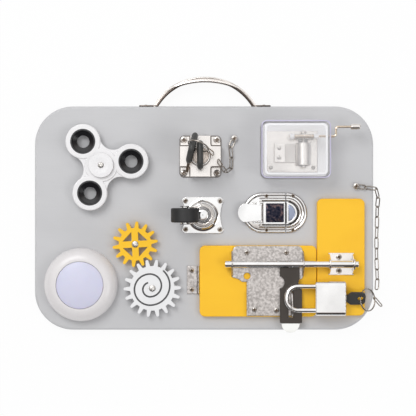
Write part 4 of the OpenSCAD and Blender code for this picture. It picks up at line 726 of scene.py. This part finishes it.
# %% Two panels of painted reflection and the painted-shade slit
# the first panel paints the claw's dark reflection, and the slit paints the shade in the groove between the
# frame and the nose
for name, left, right, half, corner, sink, proud, edge, finish in (
        ("latch_dark_reflection", -17.6, -2.0, 8.2, 0.6, 0.1, 0.08, 0.06, dark_reflection_paint),
        ("latch_slit_shade", -0.85, 0.55, 8.9, 0.2, 0.6, 0.06, 0.05, soft_black_and_shade)):
    outline = round_corners((split_x + left * mm, claw_y - half * mm),
                            (split_x + right * mm, claw_y + half * mm), corner * mm)
    soft_plate(name, outline, sheet_top - sink * mm, sheet_top + proud * mm, edge * mm, finish, "latch_claw")
nose_r, nose_cut = 7.5 * mm, 1.6 * mm
nose_x, nose_turn = split_x + 0.6 * mm, math.acos(nose_cut / nose_r)
nose_outline = [(nose_x + nose_r * math.cos(a), claw_y + nose_r * math.sin(a))
                for a in (nose_turn * (k / 16 - 1) for k in range(33))]
soft_plate("latch_nose_reflection", nose_outline, sheet_top - 0.1 * mm, sheet_top + 0.12 * mm, 0.08 * mm,
           blue_reflection_paint, "latch_claw", crown=0.12 * mm)
print("latch panels on", round(sheet_top / mm, 2), "mm")

# %% [markdown]
# ## Caster
# The fork of a caster is a stamping. From above it shows a round crown with a
# deep groove round the kingpin's cap, a bold ring and two fine ones, and the
# two legs reach down from it to the axle. All but the legs is turned work, so
# each ring is a profile spun about the swivel. Rings of their own, and not one
# profile with every ridge, let the groove and the two fine rings take a dark chrome
# that paints their shade and dark reflection, while the bold ring stays bright.
# Below the fork the fixed race flares out onto the plate.

# %% The crown and its rings
swivel = next(j for j in frame["joints"] if j["name"] == "caster_swivel")["pos_m"]
caster_at = (swivel[0], swivel[1], face_z)
ridge_foot, ridge_level = 6.45, 6.5
skin = turned("fork_crown", caster_at, [(4.95, 5.6), (4.95, 6.5), (9.9, 6.5), (10.4, 6.35), (10.6, 6.0),
                                        (10.6, 5.6)], nickel, "caster_fork", 96)
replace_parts(skin, "caster_fork")
# the groove and the two fine lines in dark chrome are painted shade and dark reflection
for name, first, last, height, finish in (("crown_groove", 5.0, 7.2, 0.1, dark_chrome_and_shade),
                                          ("crown_groove_line", 5.9, 6.3, 0.24, nickel),
                                          ("crown_ring", 7.35, 8.75, 0.7, nickel),
                                          ("crown_line_inner", 9.1, 9.5, 0.12, dark_chrome_and_shade),
                                          ("crown_line_outer", 10.0, 10.35, 0.1, dark_chrome_and_shade)):
    middle, half = (first + last) / 2, (last - first) / 2
    dome = [(middle + half * math.cos(math.pi * k / 8), ridge_level + height * math.sin(math.pi * k / 8))
            for k in range(9)]
    turned(name, caster_at, [(first, ridge_foot), (last, ridge_foot)] + dome, finish, "caster_fork", 96)
print("crown round", [round(v / mm, 1) for v in swivel[:2]])

# %% The kingpin's cap and the race
cap = ((0.6, 7.1), (4.75, 7.1), (4.75, 9.0), (4.6, 9.3), (4.3, 9.44), (2.0, 9.5), (0.6, 9.5))
flare = ((10.6, 4.3), (10.9, 4.5), (11.35, 4.46), (11.6, 3.6), (12.1, 2.7), (12.8, 2.05), (13.6, 1.68),
         (14.4, 1.53), (14.4, 1.4), (10.6, 1.4))
turned("kingpin_cap", caster_at, cap, fine_chrome, "board")
turned("kingpin_crown", caster_at, [(0.001, 9.3), (0.7, 9.3), (0.7, 9.5), (0.001, 9.5)], chrome, "board", 24)
turned("race_flare", caster_at, flare, fine_chrome, "board", 96)
print("cap and race in place")

# %% The fork's two legs
axle_low, axle_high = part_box("caster_axle")
axle_back = ((axle_low.x + axle_high.x) / 2 - swivel[0]) / mm
axle_up = ((axle_low.z + axle_high.z) / 2 - face_z) / mm
eye_r, leg_sheet = 3.6, 1.05
leg = [(-10.2, 5.7), (-4.6, 5.7), (-4.4, 7.3), (axle_back + 2.7, axle_up + 2.4)]
leg += [p[:2] for p in arc((axle_back, axle_up, 0), eye_r, 40, 220, 9)]
leg_side = (axle_high.y - axle_low.y) / 2 - 0.5 * mm
for side, name in ((1, "fork_leg_upper"), (-1, "fork_leg_lower")):
    add_piece(name, [[(swivel[0] + u * mm, swivel[1] + side * leg_side - side * shift * mm, face_z + v * mm)
                      for u, v in leg] for shift in (0.0, leg_sheet)], chrome, "caster_fork")
print("caster legs at", round(leg_side / mm, 2), "mm to each side")

# %% [markdown]
# ## The bolt's finger tab
# The dark plate that moves the bolt ends in a half-round tab in a near-white
# finish. It is a plate of its own over the dark one, so that the border is a
# real edge and not a painted line.

# %% The finger tab
plate_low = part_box("bolt_handle")[0]
tab_at = (plate_low.x + 9.3 * mm, plate_low.y + 7.7 * mm, 0)
tab_r, plate_top = 8.0 * mm, plate_low.z + 1.6 * mm
tab_outline = [point[:2] for point in arc(tab_at, tab_r, 0, -180, 40)]
soft_plate("finger_tab", tab_outline, plate_top - 1.2 * mm, plate_top + 0.35 * mm, 0.3 * mm,
           bright_tab, "bolt", crown=0.25 * mm)
print("tab", round(2 * tab_r / mm, 1), "mm wide")

# %% [markdown]
# ## Screw heads
# Every small screw has a cross recess. Cutting it out of the heads would change
# the solid parts, and at this size a dark cross of painted shade reads the same.
# Each head is found as a separate shell of the screws' mesh, and its cross is turned
# a little further than the last, as no two screws stop at the same angle.

# %% Find the separate shells of a part
def islands(part):
    """Each shell of a part as (lowest corner, highest corner), in the order of its first point."""
    shape = bmesh.new()
    shape.from_mesh(part.data)
    shape.transform(part.matrix_world)
    met, found = set(), []
    for first in shape.verts:
        if first in met:
            continue
        met.add(first)
        ahead, shell = [first], []
        while ahead:
            vert = ahead.pop()
            shell.append(vert.co.copy())
            for edge in vert.link_edges:
                other = edge.other_vert(vert)
                if other not in met:
                    met.add(other)
                    ahead.append(other)
        found.append((Vector(map(min, zip(*shell))), Vector(map(max, zip(*shell)))))
    shape.free()
    return found


print(len(islands(nodes["board_screws"])), "board screws,", len(islands(nodes["door_screws"])), "door screws")

# %% A cross of painted shade on every small head
cross_half, cross_width, widest_head = 0.85 * mm, 0.3 * mm, 6 * mm


def cross_marks(name, node, body):
    """A raised dark cross that paints the recess's shade, a hair above each screw head of a part."""
    marks = bmesh.new()
    for low, high in islands(nodes[node]):
        if high.x - low.x > widest_head:
            continue
        middle = (low + high) / 2
        spin = math.radians(20 + 31 * (len(marks.verts) % 3))
        for angle in (spin, spin + math.pi / 2):
            along = Vector((math.cos(angle), math.sin(angle), 0)) * cross_half
            across = Vector((-math.sin(angle), math.cos(angle), 0)) * cross_width / 2
            corners = [along * u + across * v for u, v in ((1, 1), (-1, 1), (-1, -1), (1, -1))]
            foot, roof = [[marks.verts.new((middle.x + c.x * grow, middle.y + c.y * grow, z)) for c in corners]
                          for grow, z in ((1, high.z - 0.25 * mm), (0.9, high.z + 0.02 * mm))]
            for k in range(4):
                marks.faces.new((foot[k], foot[(k + 1) % 4], roof[(k + 1) % 4], roof[k]))
            marks.faces.new(roof)
    bmesh.ops.recalc_face_normals(marks, faces=marks.faces)
    return keep_mesh(name, marks, recess_shade_brown, body, smooth=False)


for screws, body in (("board_screws", "board"), ("door_screws", "door")):
    marked = cross_marks(screws[:-1] + "_cross_shades", screws, body)
    print(marked.name, len(marked.data.vertices) // 16)

# %% [markdown]
# ## Drawer lock
# The lock is a cast case with a round barrel that the plug turns in. Fine
# parting lines show where the pieces meet, and they are almost black because
# no light gets into them. Thin dark wires laid into the joints give them the
# same width from every side, which a painted line wouldn't keep.

# %% Rings, corner pockets and the flange's edge
case_low, case_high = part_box("lock_case")
plug_low, plug_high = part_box("lock_plug")
plug_at = ((plug_low.x + plug_high.x) / 2, (plug_low.y + plug_high.y) / 2)
lock_x, lock_y = (case_low.x + case_high.x) / 2, (case_low.y + case_high.y) / 2
barrel_top, case_top, flange_top = case_high.z, face_z + 9.0 * mm, face_z + 1.0 * mm
for name, radius, level, thickness, body in (("barrel_edge", 8.9, barrel_top, 0.5, "board"),
                                             ("plug_edge", 7.5, barrel_top, 0.4, "lock_key"),
                                             ("plug_ring", 4.6, plug_high.z, 0.3, "lock_key")):
    wire(name, arc((*plug_at, level), radius * mm, 0, 360, 64), thickness * mm, outline_shade, body)

# dark wires paint the shadow in the four corner pockets, where the case steps down to the screws
pocket_step, pocket_r, pocket_in = 8.8 * mm, 1.6 * mm, 0.4 * mm
half_case = (case_high.x - case_low.x) / 2
bend_at = half_case - pocket_step + pocket_r
bend = [(bend_at + u, bend_at + v) for u, v, _ in arc((0, 0, 0), pocket_r, 180, 270, 6)]
pocket_ends = (half_case - pocket_step, half_case - pocket_in)
pocket = [pocket_ends] + bend + [pocket_ends[::-1]]
for name, sx, sy in (("pocket_ne", 1, 1), ("pocket_nw", -1, 1), ("pocket_sw", -1, -1), ("pocket_se", 1, -1)):
    line = [(lock_x + sx * u, lock_y + sy * v, case_top) for u, v in pocket]
    wire(name, line, 0.9 * mm, outline_shade, "board")
# a dark wire along the flange's edge paints the shade at the foot of the case
flange = [(x, y, flange_top) for x, y in round_corners(case_low, case_high, 3.5 * mm)]
wire("flange_edge", flange + flange[:1], 0.9 * mm, outline_shade, "board")
print("lock rings round", [round(v / mm, 1) for v in plug_at])

# %% [markdown]
# ## Soft keys
# The drawer lock's two keys have moulded heads, thick in the middle and soft
# all round, with a slot for the ring. A bevel modifier rounds only the rim, so
# the pillow is made as a loop of sections from the slot's edge to the head's
# edge and back underneath. Both keys share one shape. The first stands in the
# plug, and the spare hangs from the ring at its own slant.

# %% A pillow-shaped head and a flat blade
head_w, head_h, head_corner = 24.6, 22.0, 6.5
slot_w, slot_low, slot_high, slot_corner = 12.0, head_h - 11.9, head_h - 6.7, 2.6
pillow = ((0.0, 2.0), (0.08, 2.55), (0.2, 2.65), (0.62, 2.65), (0.8, 2.35), (0.93, 1.55), (1.0, 0.5))
pillow += tuple((share, -half) for share, half in reversed(pillow))
blade = ((-3.7, 0.6), (3.7, 0.6), (3.7, -3.4), (3.0, -4.2), (3.7, -5.0), (3.7, -6.8), (3.0, -7.6),
         (3.7, -8.4), (3.7, -14.2), (1.9, -16.0), (-1.9, -16.0), (-3.7, -14.2))


def soft_key(name, node, place, body):
    """A head with its slot in place of the solid key, and a blade below it."""
    outer = round_corners((-head_w / 2, 0.0), (head_w / 2, head_h), head_corner, steps=10)
    slot = round_corners((-slot_w / 2, slot_low), (slot_w / 2, slot_high), slot_corner, steps=10)
    rings = [[tuple(place @ (Vector((half, iy + (oy - iy) * share, iz + (oz - iz) * share)) * mm))
              for share, half in pillow] for (oy, oz), (iy, iz) in zip(outer, slot)]
    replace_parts(add_piece(name + "_head", rings, soft_black_and_shade, body, loop=True), node)
    add_piece(name + "_blade", [[tuple(place @ (Vector((t, y, z)) * mm)) for y, z in blade]
                                for t in (-1.1, 1.1)], key_metal, body)


print("key heads", head_w, "by", head_h, "mm")

# %% Put the keys where the solid ones are
def turned_by(x=0.0, z=0.0):
    """A turn about x and then about z, in degrees."""
    return Matrix.Rotation(math.radians(z), 4, "Z") @ Matrix.Rotation(math.radians(x), 4, "X")


def moved_by(x, y, z):
    """A shift in millimetres."""
    return Matrix.Translation(Vector((x, y, z)) * mm)


on_lock = Matrix.Translation((lock_x, lock_y, face_z))
soft_key("soft_lock_key", "lock_key", on_lock @ moved_by(0, 0, 20.5), "lock_key")
ring_r, hang = 9.1, math.radians(-125)
on_ring = on_lock @ moved_by(-1.5, 7.3, 41.5) @ turned_by(70, -21) @ moved_by(
    ring_r * math.cos(hang), ring_r * math.sin(hang), 0)
hung = turned_by(-70) @ turned_by(0, 21 - 13.6) @ turned_by(-46)
spare_at = on_ring @ hung @ moved_by(0.4, 0, 9.8 - head_h)
soft_key("soft_spare_key", "spare_key", spare_at, "lock_key")
print("spare key hangs at", [round(v / mm, 1) for v in spare_at.translation])

# %% [markdown]
# ## The music box's edges
# A clear moulding shows itself at its edges: the thick rim gathers light and
# looks lilac, and a bright line runs inside it where the lid's corner turns.
# Thin transparency can't do that by itself, so a lilac wire draws the rim, and a
# thin white band paints the bright line as a painted highlight.

# %% A band of painted highlight and a rim
lid_low, lid_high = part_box("music_lid")
band_outer = round_corners(lid_low, lid_high, 4.0 * mm, 2.4 * mm)
band_inner = round_corners(lid_low, lid_high, 3.0 * mm, 4.6 * mm)
outer_z, inner_z, under_z = [lid_high.z - below * mm for below in (0.5, 0.3, 0.45)]
band_rings = [[(*outer, outer_z), (*inner, inner_z), (*inner, under_z)]
              for outer, inner in zip(band_outer, band_inner)]
add_piece("lid_glint", band_rings, glint_white, "board", loop=True)
rim = [(x, y, lid_high.z - 1.0 * mm) for x, y in round_corners(lid_low, lid_high, 4.5 * mm, 0.5 * mm)]
wire("lid_rim", rim + rim[:1], 1.2 * mm, lilac_edge, "board")
print("rim at z =", round(lid_high.z, 4))

# %% [markdown]
# ## Drum and worm
# The tune is in the drum: each pin lifts one tooth of the comb as it passes.
# Rows of pins are set at the comb's spacing, with a seeded draw for where the
# notes fall, so the drum is the same every time. The crank drives the drum
# through a worm, and its thread is a wire wound along the shaft.

# %% Pins on the music drum
drum_low, drum_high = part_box("music_drum")
drum_x, drum_z = (drum_low.x + drum_high.x) / 2, (drum_low.z + drum_high.z) / 2
drum_r, tooth_pitch, rows_of_pins = 6.65 * mm, 0.9 * mm, 18
first_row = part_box("music_comb")[0].y - 0.3 * mm
pin_steps = ((drum_r - 0.1 * mm, 0.2 * mm), (drum_r + 0.3 * mm, 0.12 * mm))
pins = bmesh.new()
tune = random.Random(7)
for row in range(rows_of_pins):
    on_row = Vector((drum_x, first_row + row * tooth_pitch, drum_z))
    for note in range(tune.randint(5, 9)):
        angle = tune.uniform(0, 2 * math.pi)
        out = Vector((math.cos(angle), 0, math.sin(angle)))
        side = Vector((-out.z, 0, out.x))
        foot, tip = [[pins.verts.new(on_row + out * height + side * sx * half + Vector((0, sy * half, 0)))
                      for sx, sy in ((1, 1), (-1, 1), (-1, -1), (1, -1))] for height, half in pin_steps]
        for k in range(4):
            pins.faces.new((foot[k], foot[(k + 1) % 4], tip[(k + 1) % 4], tip[k]))
        pins.faces.new(tip)
bmesh.ops.recalc_face_normals(pins, faces=pins.faces)
pin_count = len(pins.faces) // 5
keep_mesh("drum_pins", pins, screw_steel, "drum", smooth=False)
print(pin_count, "pins on the drum")

# %% The worm's thread
posts_low, posts_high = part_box("music_posts")
worm_y, worm_z, worm_r = (posts_low.y + posts_high.y) / 2, posts_high.z - 2.3 * mm, 1.6 * mm
worm_start, worm_end = posts_low.x + 5 * mm, posts_high.x - 5 * mm
turns_of_worm, steps_a_turn = 8, 16
worm_steps = turns_of_worm * steps_a_turn
worm = [(worm_start + (worm_end - worm_start) * k / worm_steps,
         worm_y + worm_r * math.cos(2 * math.pi * k / steps_a_turn),
         worm_z + worm_r * math.sin(2 * math.pi * k / steps_a_turn)) for k in range(worm_steps + 1)]
wire("worm_thread", worm, 0.5 * mm, nickel, "crank")
print("worm of", turns_of_worm, "turns")

# %% [markdown]
# ## The gear's spiral
# The white gear has a spiral groove, and a dark grey ribbon paints the shade inside it.
# The groove is a chain of half rings about two centres in turn, each one step wider
# than the last, so the painted shade is a ribbon on the same arcs, a hair above the
# groove's floor. A spiral in a material would have to match the groove to a tenth of
# a millimetre, and the ribbon does so by using the same numbers.

# %% Painted shade in the groove
white_joint = next(j for j in frame["joints"] if j["name"] == "white_gear_spin")
gear_x, gear_y = white_joint["pos_m"][:2]
groove_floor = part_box("white_gear")[1].z - 0.8 * mm
spiral_x, spiral_y = gear_x - 2.0 * mm, gear_y + 0.7 * mm
spiral_step, spiral_r, paint_half = 3.7 * mm, 6.3 * mm, 0.74 * mm
half_rings = ((105, 165), (270, 180), (450, 180), (630, 140))
path = []
for k, (first, span) in enumerate(half_rings):
    side = 0.5 if k % 2 else -0.5
    centre = Vector((spiral_x, spiral_y + side * spiral_step, groove_floor + 0.03 * mm))
    r = spiral_r + k * spiral_step
    for step in range(span // 3 + 1):
        a = math.radians(first + 3 * step)
        out = Vector((math.cos(a), math.sin(a), 0))
        path.append((centre + out * (r - paint_half), centre + out * (r + paint_half)))
paint = bmesh.new()
edges = [(paint.verts.new(inner), paint.verts.new(outer)) for inner, outer in path]
for (a, b), (c, d) in zip(edges, edges[1:]):
    paint.faces.new((a, b, d, c))
keep_mesh("groove_shade_strip", paint, groove_shade_grey, "white_gear", smooth=False)
print("groove paint", len(path), "steps")

# %% [markdown]
# ## Finishes on the parts
# Every part of the board takes one of the finishes above. A table with one row
# for each finish shows at a glance which parts share a material, and the last
# line counts the parts that were forgotten.

# %% Give every part its finish
finishes = {
    grey_paint: ["board"],
    yellow_paint: ["door", "side_panel"],
    white_plastic: ["spinner_body", "spinner_caps", "music_posts"],
    cream_plastic: ["light_base", "light_ring"],
    lens_plastic: ["light_lens"],
    black_plastic: ["spinner_rings", "lock_key"],
    key_metal: ["spare_key"],
    gear_grey: ["white_gear"],
    gear_yellow: ["yellow_gear"],
    black_rubber: ["caster_wheel"],
    circuit_green: ["light_board"],
    clear_plastic: ["music_case"],
    lid_plastic: ["music_lid"],
    steel_sheet: ["lock_tongue", "hinge_leaf", "hinge_door_leaf", "bolt_base", "gear_washers"],
    nickel: ["lock_case", "bolt_catch", "music_bedplate", "crank_grip"],
    drum_steel: ["music_comb", "music_drum"],
    chrome: ["carry_handle", "caster_plate", "caster_fork", "bearing_balls", "caster_balls", "latch_base",
             "latch_catch", "latch_claw", "latch_lever", "bolt_rod", "padlock_body", "padlock_shackle"],
    screw_steel: ["board_screws", "pivot_screws", "door_screws", "music_screws", "bearing_outer",
                  "bearing_inner", "hinge_pin", "latch_lever_pin", "latch_claw_pin"],
    dark_plate: ["bolt_handle"],
    soft_black_and_shade: ["padlock_key"],
    dark_chrome_and_shade: ["caster_axle"],
    brass: ["padlock_plug"],
    pale_brass: ["music_crank"],
    plug_nickel: ["lock_plug"],
    wire_steel: ["lock_key_ring", "lock_chain", "padlock_key_ring", "long_chain"],
}
for finish, names in finishes.items():
    for name in names:
        part = nodes[name]
        part.data.materials.clear()
        part.data.materials.append(finish)
bare = sorted(set(nodes) - {n for names in finishes.values() for n in names})
print("finished parts:", len(nodes) - len(bare), "still bare:", bare)

# %% [markdown]
# ## Finish

# %% Finish
print("finished")
